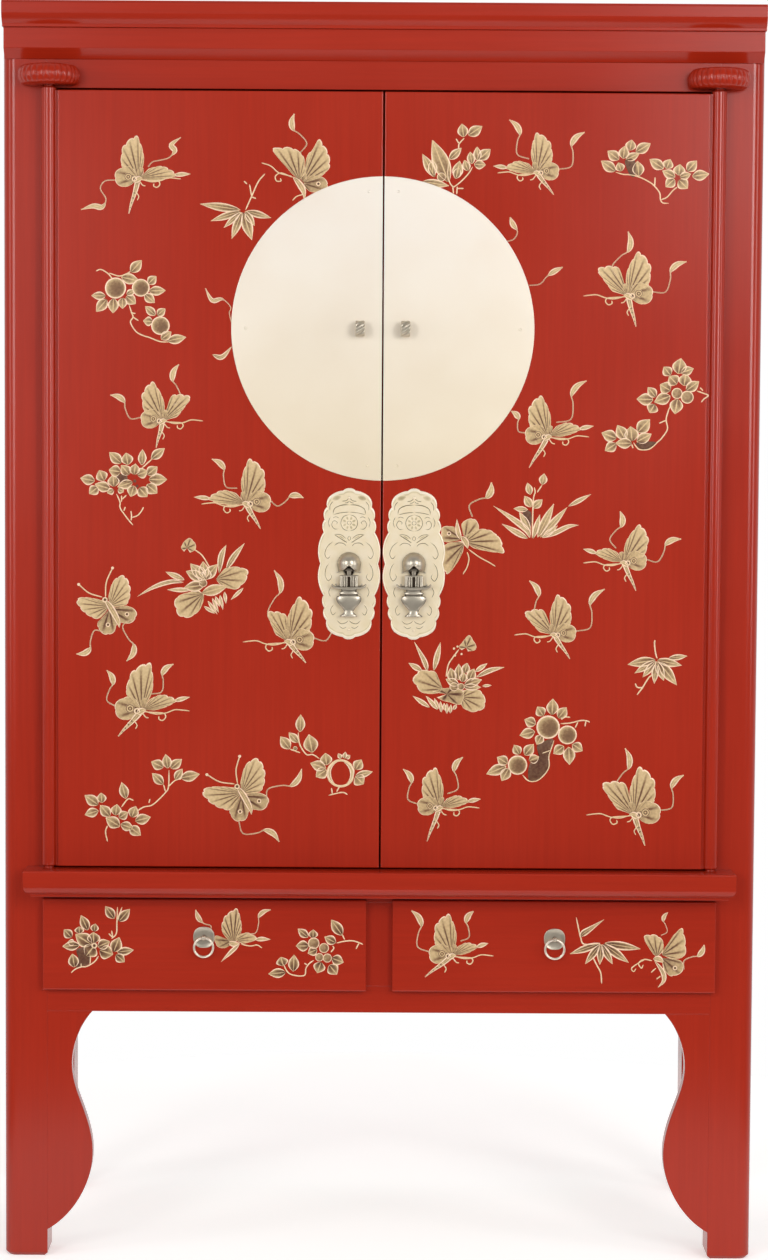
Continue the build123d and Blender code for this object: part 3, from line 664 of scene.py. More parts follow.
def flying(x, y, hand, wing_to, second_to, abdomen_to, ribbon_tips=(), raised=False):
    """A butterfly on the wing, seen from the side with its feelers towards hand (1 is right).

    Each wing is turned and sized about the thorax until its tip stands where it should.
    """
    place, local = about(x, y, hand)
    scale = abs(complex(*local(wing_to))) / abs(complex(*big_tip))

    def sized(points):
        return place(np.asarray(points, float) * scale)

    strokes = [ribbon(start, tip, bow * hand)
               for start, tip, bow in zip(sized(streamer_roots), ribbon_tips, (0.28, -0.28))]
    strokes.append(fan(sized(hind_wing), place((-1, 2)), 4, 0.375, 0.64))
    strokes.append(disc(*sized((-11.5, 2.5)), 4.6 * scale, ringed_eye, 0))
    if raised:
        strokes.append(fan(place(spun(raised_wing, raised_tip, local(second_to))), (x, y), 8))
    else:
        strokes.append(fan(place(spun(tail_wing, tail_tip, local(second_to))), place((1, 1)), 8))
        strokes.append(blade(place(spun(wing_tail, tail_tip, local(second_to))), 4.4, shade=0.3))
    strokes.append(fan(place(spun(big_wing, big_tip, local(wing_to))), (x, y), 9))
    strokes.append(fan(sized(inner_wing), place((2, 1)), 3, 0.6, 0.6))
    body = spun(abdomen, abdomen_tip, local(abdomen_to))
    strokes.append(blade(place(body), 6.0 * scale, lambda share: np.clip(1.15 - share, 0.12, 1), 0.3))
    strokes += [disc(*place(body[0] + (body[-1] - body[0]) * share), 1.25 * scale * (1.4 - share),
                     joint_mark, 0) for share in abdomen_joints]
    strokes.append(disc(*sized((-4.5, 0)), 3.3 * scale, dark_eye, 0))
    strokes.append(blade(sized(thorax), 6.4 * scale, shade=0.25))
    knee = body[1] * 0.9
    strokes += twigs([place([knee, knee + (3.5, -5), knee + (2.0, -9)]), place(front_leg)], 1.2, 0.85)
    return strokes + twigs([sized(long_feeler), sized(curled_feeler)], 1.3, 0.84)


left_open_tip = (-39.8, 2)
left_wing_open = [(-3, 5), (-18.4, 6.5), (-32.7, 6.1), left_open_tip, (-36.7, -5.1), (-26.5, -13.3),
                  (-12.2, -17.3), (-4, -9)]
upper_open_tip = (17.3, 34.3)
upper_wing_open = [(-1, 8), (-1, 12.2), (3.1, 26.5), (10.2, 33.7), upper_open_tip, (23, 24.5),
                   (23.5, 12.2), (19.4, 2), (6, -1)]
lower_hind_open = [(-7, -12), (-11.6, -16), (-11.6, -22.4), (-4.1, -29), (4.1, -26.5), (7.6, -17), (4, -9)]
right_hind_open = [(6, -1), (18.4, 0.5), (26.1, -4.1), (27.5, -11.2), (20.4, -17.3), (10.2, -16), (5, -8)]
open_body = [(-5, 7), (1, -1), (8.2, -14.3), (10, -22)]


def open_butterfly(x, y, left_to, upper_to, ribbon_tips, feeler_tips, bows):
    """A butterfly from above, all four wings spread and its feelers up and to the left."""
    place, local = about(x, y)
    strokes = [ribbon(start, tip, bow)
               for start, tip, bow in zip(place([(-3, -27), (26, -12)]), ribbon_tips, bows)]
    for outline, eye in ((lower_hind_open, (-1.5, -18.5)), (right_hind_open, (17.5, -8))):
        strokes += [fan(place(outline), place((0, -3)), 4, 0.45, 0.58), disc(*place(eye), 2.4, dark_eye, 0)]
    strokes.append(fan(place(spun(left_wing_open, left_open_tip, local(left_to))), (x, y), 9, 0.45, 0.74))
    strokes.append(fan(place(spun(upper_wing_open, upper_open_tip, local(upper_to))), (x, y), 9, 0.45, 0.76))
    strokes.append(blade(place(open_body), 6.0, shade=0.3))
    strokes.append(disc(*place((-4.5, 6.5)), 2.8, dark_eye, 0))
    for start, tip in zip(((-4, 9), (-7, 9)), feeler_tips):
        tip = np.array(local(tip))
        middle = (start + tip) / 2 + 0.07 * np.array([-tip[1], tip[0]])
        strokes += [line(place([start, middle, tip]), 1.4, 0.86), disc(*place(tip), 1.5, 0.95, 0)]
    return strokes


perched_hind = [(5, 4), (10.5, 8), (21.9, 6.7), (28, 0), (26.6, -4.7), (18.6, -8.5), (10.5, -8.5), (4, -4)]
perched_near = [(6, 4), (5.8, 25.4), (13.2, 36.1), (18.6, 44.8), (25.3, 36.1), (28.6, 29.4), (30, 18.7),
                (26.6, 12), (18, 5)]
perched_far = [(-8, 9), (-28.3, 33.4), (-23, 36.1), (-11, 36.6), (-2.9, 33.5), (3.8, 25.4), (4, 8)]
perched_inner = [(1, 3), (0, 8), (3, 12), (6, 10), (6, 4)]
perched_body = [(-8, 7), (-3, 2), (1.2, -4), (3.5, -10), (3.8, -18)]
perched_lines = [[(-8, 7), (-21.6, 10.7), (-29.6, 17.4), (-39, 20.7)],
                 [(-8, 6), (-19, 10.5), (-25, 7.5), (-24, 2.6), (-19.5, 2.6), (-20.3, 5.3)],
                 [(2, -11), (-4, -13), (-8, -17)]]


def perched(x, y, ribbon_tip, bow):
    """A butterfly with both wings raised, its feelers to the left and its tail hanging down."""
    place = about(x, y)[0]
    return [ribbon(place((-1, 30)), ribbon_tip, bow), fan(place(perched_hind), place((3, 0)), 4, 0.35, 0.58),
            disc(*place((17.9, -0.3)), 2.4, dark_eye, 0), fan(place(perched_near), place((2, 1)), 9),
            fan(place(perched_far), place((-1, 3)), 8), fan(place(perched_inner), place((2, 2)), 3, 0.6, 0.6),
            blade(place(perched_body), 6.0, shade=0.3), *twigs(map(place, perched_lines), 1.3, 0.85)]


def paint(name, body, board, strokes):
    """Cast the strokes onto a board, each a hair above the one before, as one object."""
    board_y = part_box(board)[0].y
    sheets, tones = [], []
    for order, (flat, lift, tone) in enumerate(strokes):
        points = on_board(flat, board_y)
        points[..., 1] = board_y / mm + foot_depth - lift * (foot_depth + film_height + order * step_height)
        sheets.append(sheet(points))
        tones.append(np.clip(tone, 0, 1).ravel())
    piece(name, sheets, gilt, body, closed=False, tones=tones)


# ------------------------------------------------------------------ left door's painting
# Five butterflies fly down the panel, two are spread open and one perches, with fruit, plum
# blossom, a lotus, a pomegranate and bamboo between them. What runs under the brass plates was
# painted before they were nailed on.
peach_leaves = [
    (106, 296, 91, 295.5, 7), (107, 299, 96, 312, 9), (113.6, 298, 113, 313.6, 9),
    (122.5, 297.5, 122.5, 309, 8), (126, 296, 136, 304, 9), (126.5, 295, 135, 290, 6),
    (121, 277, 139.5, 281, 9), (130.5, 272.5, 142, 260, 9), (148, 284, 156.5, 276, 8),
    (148.5, 291, 166, 290.5, 8), (144.5, 294, 155, 303, 8), (155.5, 315.5, 145, 306, 7),
    (157, 315.5, 165.5, 308.5, 7), (153, 321.5, 143, 321, 8), (161, 339.5, 171.5, 331.5, 8),
    (167, 341, 186.5, 337, 8)]
peach_twigs = [
    [(96, 271), (101, 269.5), (108, 273.5), (112.5, 279)], [(109, 273), (119, 276), (126, 274),
    (130.5, 271.5)], [(129, 304.5), (131.5, 312.5), (133, 317), (130.5, 322.5), (136, 331.5), (143, 335.5),
    (149.5, 337.5), (160, 341.5), (170, 342)], [(131.4, 312.7), (135.5, 313.6)], [(133, 317),
    (138.5, 320.7)]]
peaches = [(140.8, 287.7, 9), (115.5, 288, 10.7), (160.4, 325.6, 9.4)]
plum_leaves = [
    (95, 481, 80, 478, 9), (104, 481, 99, 470, 10), (98, 487, 89, 494, 9), (110.5, 489, 94.5, 484, 9),
    (114, 487, 113, 474.5, 10), (121, 472, 108.5, 470, 10), (129.5, 475, 121, 465, 9),
    (121.5, 463.5, 109, 452, 9), (128, 465, 126, 452.5, 10), (134, 475, 135.5, 463.5, 9),
    (137, 475, 148, 471, 9), (147, 475, 157.5, 466.5, 9), (148.5, 479.5, 167.5, 479.5, 10),
    (146.5, 484.5, 157.5, 493.5, 10), (139, 487.5, 147.5, 497, 10), (134, 485.5, 130.5, 497, 9),
    (133, 482, 117, 487, 8), (114, 490, 107, 493, 6), (118, 489, 124, 492, 6), (142, 465.5, 142.5, 449, 7),
    (151, 459, 165, 448, 8)]
plum_twigs = [
    [(141.5, 468.5), (152.5, 458.5)], [(116.5, 494), (120, 502), (120, 507.5), (124, 514), (129, 520.5),
    (133, 525)], [(121.5, 495.5), (121.5, 502)], [(126.5, 495), (122, 499.5)], [(131, 520.5),
    (131.5, 516.5), (131, 511)], [(132, 517.5), (137.5, 515.5), (141.5, 511), (143.5, 507)], [(123.8, 511),
    (125.3, 506.8)]]
plum_ground = [(117, 475), (126, 474), (127, 481), (118, 482)]
plum_hearts = [(134.8, 481, 1.6), (137, 486, 1.4)]
left_lotus_stalk = [(194.6, 549.5), (202.3, 555.7), (210, 568)]
left_lotus_pod = [(184, 552), (181, 547), (185.5, 540), (190, 538), (195, 542.7), (196, 549), (190, 553)]
left_lotus_petals = [
    (204.6, 579.4, 190, 563.3, 9), (204.6, 579.4, 217.6, 564, 9), (204.6, 579.4, 196.2, 564.7, 9),
    (204.6, 579.4, 203, 561, 9), (204.6, 579.4, 185.5, 571, 9), (204.6, 585, 183.5, 587.8, 9),
    (206, 580, 196, 572, 8), (206, 580, 208, 568, 8)]
left_lotus_blades = [
    (184.7, 580, 165.2, 571.7, 5), (191.6, 590, 166.7, 589.7, 4), (201.5, 593.2, 227.6, 586.3, 9),
    (207.7, 600.8, 217.6, 614.6, 3), (203.8, 606.2, 215.3, 613.8, 3), (212.2, 597.8, 218.8, 613, 3),
    (215.3, 596.2, 219.9, 607, 3), (219.9, 594.7, 223, 610, 3), (224.5, 591.6, 226, 603.9, 3),
    (243.6, 587.8, 230.6, 600, 3)]
left_lotus_reeds = [([(184, 582.4), (171, 581.7), (154, 587), (136.5, 597)], 4.5),
                    ([(219, 574), (221.4, 556), (226.4, 544.6)], 6),
                    ([(226, 570), (233.7, 557), (245, 542.7)], 6)]
left_lotus_leaf = [
    (220, 575), (224.5, 568.7), (233.7, 566.5), (244.4, 568), (249, 573), (245, 582.4), (237.5, 589),
    (228.3, 588.5), (219, 584)]
left_lotus_low_leaf = [
    (199, 590), (188.5, 592), (179, 595.5), (174.5, 600), (175, 609), (180, 617), (190, 617.5),
    (198.5, 611.5), (203, 602.4), (204, 594)]
cherry_leaves = [
    (98.5, 805, 84.5, 795, 9), (102, 803, 101, 792.5, 8), (98.5, 810.5, 84.5, 815, 8),
    (110, 816.5, 100, 805, 9), (115.5, 815.5, 117, 804, 9), (120, 826.5, 105.5, 817.5, 10),
    (119, 818, 128, 812, 8), (131.5, 817.5, 136, 806, 9), (135, 821, 151, 817, 9),
    (120.5, 824, 134, 829, 8), (129.5, 826.5, 141, 835.5, 9), (126, 799, 121.5, 782, 8),
    (163.5, 767.5, 151, 761.5, 9), (168, 768.5, 165.5, 754, 8), (170.5, 768.5, 182, 759, 8),
    (163.5, 784.5, 152, 773, 8), (175, 780, 182.5, 768.5, 7), (180.5, 778, 200, 774, 9)]
cherry_twigs = [
    [(121.5, 807), (128, 799), (133.5, 800.5)], [(137, 811), (144, 807), (153, 804.5), (165.5, 792.5),
    (168.5, 786.5), (169, 770)], [(148.8, 803), (150, 799)], [(165.4, 791.6), (163.5, 784.5)],
    [(168.5, 786.5), (175.2, 780.4), (181.4, 778.7)], [(107.5, 825.5), (105.5, 832), (107.5, 841.5)]]
pomegranate_leaves = [
    (344.3, 758.7, 345.4, 751.7, 4), (341.4, 758.7, 338, 753.3, 4), (345.8, 758.7, 350.2, 755, 4),
    (326.7, 765.3, 325.3, 752.8, 10), (326, 768.2, 310, 763, 9), (326.7, 769.7, 315.7, 777, 10),
    (355.3, 769.7, 361.6, 759.4, 9), (355, 776, 373, 771.6, 6), (355.3, 776.3, 363.8, 784.3, 11),
    (300, 732.3, 300.7, 714.3, 8), (312.4, 752.8, 308.8, 734.1, 12), (298.1, 742.5, 288.6, 732.3, 7),
    (290, 749.1, 280.2, 736.3, 9)]
pomegranate_twigs = [
    [(298.1, 732.3), (299.6, 744), (306.2, 754.3), (312.8, 754.6), (319.4, 758.7)], [(290, 749.1),
    (300.3, 752.8)], [(328.6, 795.3), (342, 792.4), (347.6, 794.6)], [(336.6, 791.7), (340, 785.8)],
    [(332.2, 793.9), (331.5, 788)], [(329, 781), (335.7, 785.4)]]
pomegranate = (340.7, 773.3)
pomegranate_bud = (295.2, 748.4, 2.2)
left_bamboo = [
    (241, 210, 199.4, 203.8, 7), (241, 211, 210.1, 221.2, 6), (241, 212, 223.5, 228, 5),
    (242, 212, 231.5, 239.3, 7), (243, 212, 252, 240.5, 9), (245, 211, 254.8, 226, 6),
    (246, 211, 271.5, 218, 6)]
left_bamboo_twigs = [
    [(245.5, 210), (251.6, 196.4), (258.3, 181.7), (265, 173.7)], [(251.6, 196.4), (249.6, 184.4)],
    [(252, 197), (256, 198.5)], [(247, 184), (244, 181)]]
upper_plate_streamer = [(231.6, 322.9), (229.3, 313.2), (230.6, 307), (222.4, 299.1), (212.2, 300.4),
                        (205.1, 287.7)]
lower_plate_leaf = [(212.2, 354.5), (221.9, 357), (232.4, 345.8)]
corner_streamers = [[(117, 180), (105, 181), (100.4, 188.7), (106, 199), (102, 207), (93, 206),
                     (80.4, 209.8)],
                    [(148, 167), (152.5, 162), (161, 160), (168.8, 157.7), (174.9, 150.8), (171.4, 144.8),
                     (181.3, 137)]]

strokes = leaves(peach_leaves, 0.5) + twigs(peach_twigs) + rounds(peaches)
strokes += twigs(plum_twigs) + [patch(plum_ground)] + leaves(plum_leaves, 0.5)
strokes += rounds(plum_hearts, 0.1, 0) + twigs([left_lotus_stalk])
strokes += [fan(left_lotus_pod, (187, 548), 5, 0.6)] + leaves(left_lotus_blades, 0.3)
strokes += [blade(path, width) for path, width in left_lotus_reeds]
strokes += [fan(left_lotus_leaf, (216, 579), 6, 0.35)] + leaves(left_lotus_petals, 0.6)
strokes += [disc(203, 583, 4.2, berry), fan(left_lotus_low_leaf, (203, 594), 7, 0.4)]
strokes += twigs(cherry_twigs) + leaves(cherry_leaves, 0.5)
strokes += twigs(pomegranate_twigs) + leaves(pomegranate_leaves, 0.45)
strokes += [line(round_path(*pomegranate, 13.0, 0, 375), 2.4, 0.85), disc(*pomegranate_bud, berry),
            blade(round_path(*pomegranate, 11.4, -75, 60), 4.0, shade=0.2),
            blade(round_path(*pomegranate, 11.6, 120, 255), 3.4, shade=0.2)]
strokes += twigs(left_bamboo_twigs, 1.5) + leaves(left_bamboo, 0.55)
strokes += [blade(upper_plate_streamer, 5, ribboned), blade(lower_plate_leaf, 5)]
strokes += perched(300.5, 183.5, (294.5, 113.4), -0.3)
strokes += flying(138.5, 179, 1, (136.4, 135), (191, 174), (128.7, 214))
strokes += [blade(path, 6, ribboned, 0.35) for path in corner_streamers]
strokes += flying(163, 421, 1, (152, 381), (191, 397), (156, 448), [(110, 395), (179, 364)], True)
strokes += flying(246, 504, -1, (250, 458), (193.5, 497), (260.6, 529), [(303.7, 498), (211.5, 459)])
strokes += open_butterfly(109.5, 606.2, (76.4, 599.5), (124.9, 575.7), [(76.1, 654), (126.3, 661.4)],
                          [(112.5, 568), (78.7, 584.4)], (-0.35, -0.35))
strokes += flying(288.6, 642, -1, (300, 596), (267, 612), (306, 663), [(352, 616), (274, 570)], True)
strokes += flying(141.6, 711, 1, (149.8, 662), (190.2, 697), (118, 736.5), [(106.6, 670), (173.6, 664)])
strokes += open_butterfly(241.6, 793, (201.8, 791), (258.9, 758.7), [(279.4, 842), (301.8, 768.5)],
                          [(239.6, 756.3), (206.9, 774.6)], (-0.3, 0.3))
paint("left_door_painting", "left_door", "left_door_panel", strokes)

# ------------------------------------------------------------------ right door's painting
# Its fellow carries magnolia, camellia, an orchid, a lotus, bamboo and loquats among eight
# butterflies, most of which fly in towards the middle.
magnolia_leaves = [
    (422.2, 181.4, 449.6, 185.9, 7), (435, 177.6, 422.2, 153.4, 8), (433.1, 176.3, 432.1, 158.8, 8),
    (449, 159.7, 461.8, 147.6, 7), (463.7, 137.4, 461.8, 123.4, 9), (468.1, 135.5, 482.5, 126, 9),
    (477.7, 161, 477.1, 146.4, 7), (478.3, 159.7, 490.8, 148.9, 9), (473.9, 164.2, 486, 164.9, 8),
    (472, 164.2, 470, 151.5, 7), (468.1, 171.2, 464.3, 159.7, 7), (456, 178.9, 459.8, 160.4, 9),
    (455.4, 178.9, 459.2, 166.8, 7), (449, 183, 432, 139, 14)]
magnolia_twigs = [
    [(449, 159.7), (447.7, 173.8), (449.6, 182.1), (452.8, 186.5), (455.4, 185.9), (462.4, 180.2),
    (468.8, 173.1), (472.6, 166.8)], [(458.6, 148.3), (459.2, 143.8), (464.3, 138.1)], [(459.2, 143.8),
    (456, 138.7)], [(452.8, 186.5), (453.5, 193.5)], [(457.3, 186.5), (456.7, 194.2)], [(457.9, 188.4),
    (463.7, 188.4)]]
magnolia_bud = (441.4, 177, 4.5)
upper_camellia_leaves = [
    (619, 159.8, 607.4, 150.7, 9), (623.2, 159, 624.8, 145.7, 9), (629.8, 150.7, 631.9, 139.5, 9),
    (635.6, 152.3, 650.9, 143.2, 9), (625.7, 159.8, 639.8, 153.2, 7), (615.7, 171.4, 600.8, 160.6, 9),
    (621.5, 171.4, 618.2, 162.3, 8), (638.9, 176.4, 637.3, 160.6, 10), (675.4, 177.2, 662.1, 170.6, 8),
    (678.7, 175.6, 680, 164, 10), (679.6, 177.2, 691.2, 173.9, 7), (674.6, 178.9, 665.5, 187.2, 9),
    (678.7, 179.7, 687.8, 188.8, 10), (663.8, 168.9, 649.3, 159, 9), (666.3, 168.9, 670.4, 159, 9),
    (687, 171.4, 697, 160.6, 9), (692, 176.4, 709.4, 173.9, 9)]
upper_camellia_twigs = [
    [(615.7, 172.2), (623.2, 174.3), (629.8, 174.7), (639.8, 177.2), (649.7, 182.2), (654.7, 186.3),
    (659.7, 193), (660.5, 199.6), (663, 202.9), (668.8, 203.3)], [(654.7, 186.3), (655.1, 177.2)],
    [(661.3, 199.6), (667.1, 197.1), (672.9, 190.5), (677.1, 187.2)]]
upper_camellia_ground = [(624.8, 160.6), (635, 160.6), (635, 176), (629.8, 175)]
camellia_leaves = [
    (678.3, 374.2, 681.1, 358, 12), (670.6, 375.5, 663.6, 366.6, 9), (680.8, 373, 693.9, 368.5, 8),
    (677, 384.4, 669, 376, 11), (684, 386, 686, 373.5, 11), (670.6, 390.8, 659.8, 384.4, 11),
    (685.9, 390.8, 699.3, 381.3, 9), (677.6, 398.5, 674.8, 414.4, 11), (656, 397.2, 647.7, 387, 8),
    (653.4, 399.7, 636.2, 399, 10), (670.6, 395.9, 654, 402.3, 10), (654.7, 404.2, 649.6, 413.1, 10)]
camellia_twigs = [
    [(696.8, 390.8), (703.8, 393.4), (708.2, 395.6), (703.8, 399.1), (701.2, 402.3)], [(700, 387.6),
    (703.1, 390.8)], [(670, 406.1), (667.4, 413.8), (666.1, 420.2), (667.4, 429.1), (662.3, 437.4),
    (657.9, 441.8), (649.6, 448.9), (640.3, 449.6), (636.5, 447), (633.5, 442.7)], [(666.1, 420.2),
    (659.1, 423.3)], [(631.8, 444.4), (633, 448.3)]]
camellia_buds = [(677, 393.4, 5.5), (687.2, 397.2, 6.5)]
camellia_ground = [(636.5, 442.7), (656, 441.9), (649.3, 448.3), (640.7, 449.1)]
low_camellia_leaves = [
    (632.2, 441.5, 630.5, 426.1, 12), (625.4, 439.7, 617.2, 424.8, 10), (616.8, 438.5, 601.4, 432.7, 10),
    (632.2, 443.2, 615.1, 443.2, 9), (616.4, 443.6, 604.8, 450.9, 9), (636.5, 441.9, 651.8, 433.8, 9),
    (637.3, 432.5, 650.1, 419.2, 11)]
orchid_leaves = [
    (530.6, 531.3, 519, 511.4, 6), (533, 538.8, 540.1, 513.9, 5), (537.2, 538, 554.2, 503.1, 7),
    (539.7, 538, 567.9, 506.5, 6), (567.9, 506.5, 591.5, 494, 4), (542.2, 538, 557.9, 525.5, 5),
    (530.6, 494.9, 527.3, 482.4, 6), (542.2, 484.9, 544.3, 473.3, 7), (531.4, 507.3, 524.4, 495.7, 7),
    (533, 508.1, 542.6, 499.4, 7), (528.1, 509.8, 513.2, 508.5, 5)]
orchid_blades = [
    [(530, 538), (526.4, 529.7), (511.5, 518.1), (492.4, 505.2)], [(528.1, 538.8), (516.5, 532.2),
    (501.1, 523.5)], [(542.2, 538), (554.6, 533), (568.7, 526.4), (579.5, 525.1)]]
orchid_stalks = [
    [(532.2, 538), (532.7, 514.8), (533.5, 498.2), (535.1, 492.4), (534.3, 487.4)], [(537.2, 492.4),
    (542.2, 484.9)]]
orchid_ground = [(522.3, 511.5), (530.6, 511.5), (531.4, 524), (529, 525)]
right_lotus_stalk = [(458.9, 649.5), (452.5, 657.9), (448.3, 664.9), (446, 676.8)]
right_lotus_pod = [(461.5, 650.5), (459, 646.7), (464, 640), (469.4, 635), (476, 645), (475.5, 650),
                   (468, 651.5)]
right_lotus_seeds = [(454, 648.5, 1.1), (457.5, 646.5, 1.1), (461.5, 654, 1.1), (455, 655.5, 1.1)]
right_lotus_buds = [(454, 686.7, 4.5), (461, 686.7, 3.5)]
right_lotus_petals = [
    (459, 685, 445.5, 679, 7), (453.2, 681.8, 450.4, 667.7, 8), (458.2, 680.4, 458.9, 663.5, 7),
    (464.5, 673.3, 467.3, 662.8, 7), (468.7, 681.1, 474.3, 668.4, 8), (463.8, 685.3, 482, 679.6, 8),
    (462.4, 682.5, 463.8, 671.9, 7), (463.1, 686.7, 481.3, 687.4, 6)]
right_lotus_blades = [
    (422.4, 671.2, 408.3, 662.8, 5), (433.6, 671.2, 440.6, 641.8, 5), (475, 671.9, 487.6, 663.2, 4),
    (482, 686, 491.8, 685.3, 2.5), (430.1, 707.7, 412.5, 695.8, 4), (437.8, 709.8, 425.9, 695.8, 4),
    (438.5, 709.1, 434.3, 697.9, 3), (441.3, 712.6, 440.3, 700.7, 3), (444.5, 710.5, 444.1, 702.8, 3),
    (446.9, 714, 446.9, 702.8, 3), (450.1, 713.3, 451.1, 704.2, 3), (453.2, 709.8, 456.8, 704.2, 3)]
right_lotus_reeds = [[(427.3, 671.2), (424.5, 661.4), (413.9, 641.1)],
                     [(475.7, 677.5), (489.7, 670.5), (505, 667)]]
right_lotus_leaf = [
    (442, 691), (438.5, 680), (436, 672.6), (428.7, 670), (418, 671), (412.5, 679.6), (416, 686.3),
    (421.7, 692.6), (431, 694), (439, 693)]
folded_leaf = [(430.5, 692), (444.1, 688), (462.4, 690), (462, 704), (446.9, 702), (436, 697.5)]
right_lotus_low_leaf = [
    (462.5, 690), (475.7, 689.2), (483, 693), (486, 703.5), (482, 710), (472.2, 712.2), (464, 708.7),
    (460.5, 703.5)]
right_bamboo = [
    (655.8, 659.8, 627.1, 664.6, 8), (655.8, 660.5, 634.1, 673.5, 6), (655.8, 661, 642.4, 677.6, 6),
    (655.8, 663, 654.2, 684, 6), (656.5, 661, 664, 681.1, 7), (658, 661, 677.2, 685.6, 9),
    (657, 660, 682, 665.5, 7), (667.9, 658.5, 687.7, 655.9, 5)]
right_bamboo_twigs = [
    [(659, 659), (667.9, 658.5)], [(654.9, 640), (654.5, 643.8), (655.5, 652.8), (657.1, 658.5)],
    [(653.3, 674.4), (648.8, 677.6), (642.4, 687.8), (637, 694.8)], [(642.4, 687.8), (637.3, 687.2),
    (635.1, 683.4)]]
loquat_leaves = [
    (543.5, 716, 537.2, 706.5, 9), (551.9, 715.3, 553, 698.4, 10), (558.2, 718.1, 566.7, 707.2, 9),
    (535.8, 724.4, 524.2, 719.5, 9), (535.1, 731.4, 519.3, 735.6, 9), (542.1, 734.9, 536.5, 744.7, 8),
    (563.9, 746.1, 553.3, 753.9, 9), (568.8, 746.8, 569.5, 765.1, 10), (572.3, 744, 582.8, 751.1, 9),
    (519.6, 754.6, 514, 744.7, 8), (524.6, 755.3, 533.7, 744, 9), (528.8, 760.9, 539.3, 756.7, 8),
    (507.7, 763.7, 497, 757, 9), (509.1, 767.9, 501.4, 781.2, 9), (506.5, 766, 486, 774.3, 9)]
loquat_twigs = [
    [(560.4, 723.7), (570.2, 723), (580.7, 720.5), (587, 720.9), (589.8, 722.3)], [(577.9, 722.3),
    (575.1, 727.9)], [(586, 721), (584.9, 726.5)], [(561.1, 719.5), (565.3, 717), (570.2, 717.4)],
    [(554, 740.5), (550.5, 750.4), (548.8, 756.7), (548.4, 768.6), (538.6, 779.8), (528.8, 780.9),
    (522.5, 774.9)], [(550.5, 750.4), (542.1, 753.2)]]
loquats = [(567.4, 734.9, 9.5), (548.1, 727.2, 11.8), (517.5, 765.1, 9.8)]
loquat_ground = [(537.2, 745.4), (553.3, 739.1), (548.4, 756.7), (548.4, 768.6), (538.6, 779.8),
                 (528.8, 780.5), (529.5, 763.7), (539.3, 757.4)]
plate_streamers = [[(507, 241.5), (514, 239), (517.5, 231.5), (513, 224.5), (510, 217)],
                   [(529, 285.5), (540, 284), (546.5, 277), (554, 271.5), (563, 267)]]
facing_wings = [([(461, 541), (444.3, 545), (442.1, 562.9), (445, 574.3), (449.3, 572.9), (456.4, 564.3),
                  (463, 552)], (464.3, 543.6), 5, 0.45, 0.66),
                ([(464.3, 535.7), (479.3, 529.3), (489.3, 529.3), (494.3, 532.9), (498.6, 535),
                  (501.4, 540.7), (503.6, 545.7), (504.3, 552.9), (498.6, 552.9), (487.1, 551.4),
                  (474, 548.6)], (465, 542), 7, 0.5),
                ([(458, 533), (454.3, 527.1), (447.1, 525.7), (440.7, 528.6), (441.4, 535.7),
                  (444.3, 542.1), (457, 541)], (462, 539), 4, 0.45, 0.62)]
facing_eye = (449, 533.5, 2.2)
facing_top_wing = [(463, 534), (461.4, 523.6), (465.7, 520), (472.9, 517.9), (477.1, 521.4),
                   (479.3, 529.3), (470, 534)]
facing_body = [([(461, 540), (457.9, 531.4), (456.8, 518.6)], 5),
               ([(461, 536), (465.7, 542), (468, 549)], 6)]
facing_feelers = [[(467.1, 552.1), (468.9, 558.6), (467.1, 567.1), (462.9, 574.3)],
                  [(468.6, 549.3), (479.3, 557.1), (488.6, 562.1), (495.4, 566.4)]]

strokes = twigs(magnolia_twigs) + leaves(magnolia_leaves, 0.5) + [disc(*magnolia_bud, berry)]
strokes += twigs(upper_camellia_twigs) + [patch(upper_camellia_ground)]
strokes += leaves(upper_camellia_leaves, 0.5) + twigs(camellia_twigs) + leaves(camellia_leaves, 0.55)
strokes += rounds(camellia_buds, berry) + [patch(camellia_ground)] + leaves(low_camellia_leaves, 0.5)
strokes += twigs(orchid_stalks) + [patch(orchid_ground)]
strokes += [blade(path, width, shade=0.3) for path, width in zip(orchid_blades, (6, 6, 5))]
strokes += leaves(orchid_leaves, 0.35) + twigs([right_lotus_stalk])
strokes += [fan(right_lotus_pod, (466, 647.5), 5, 0.6)] + rounds(right_lotus_seeds, 0.9, 0)
strokes += leaves(right_lotus_blades, 0.3) + [blade(path, 5) for path in right_lotus_reeds]
strokes += [fan(right_lotus_leaf, (443, 689), 6, 0.35), fan(right_lotus_low_leaf, (461.5, 697), 6, 0.4)]
strokes += leaves(right_lotus_petals, 0.6) + rounds(right_lotus_buds, berry)
strokes += [fan(folded_leaf, (447, 694), 5, 0.6, 0.6)]
strokes += twigs(right_bamboo_twigs, 1.5) + leaves(right_bamboo, 0.6)
strokes += twigs(loquat_twigs) + [patch(loquat_ground)] + leaves(loquat_leaves, 0.5) + rounds(loquats)
strokes += [blade(path, 6, ribboned) for path in plate_streamers]
strokes += flying(537, 173, -1, (537, 132), (493, 166), (554, 195), [(585, 132), (509, 119.5)])
strokes += flying(628, 296, -1, (639, 251), (597, 269), (636, 327), [(687, 261.5), (628, 231)], True)
strokes += flying(548, 437, 1, (540.5, 395), (594, 426), (529, 468), [(511, 411), (587, 380.5)])
strokes += flying(624, 563, -1, (640, 524), (583, 549), (636, 591), [(681.5, 539), (620, 511)])
strokes += flying(554, 635, -1, (558, 594), (524, 613), (570, 659), [(605, 589), (529, 580.5)], True)
strokes += flying(439.5, 808, 1, (435, 767), (481, 799), (427, 841.5), [(403, 769), (463, 757)])
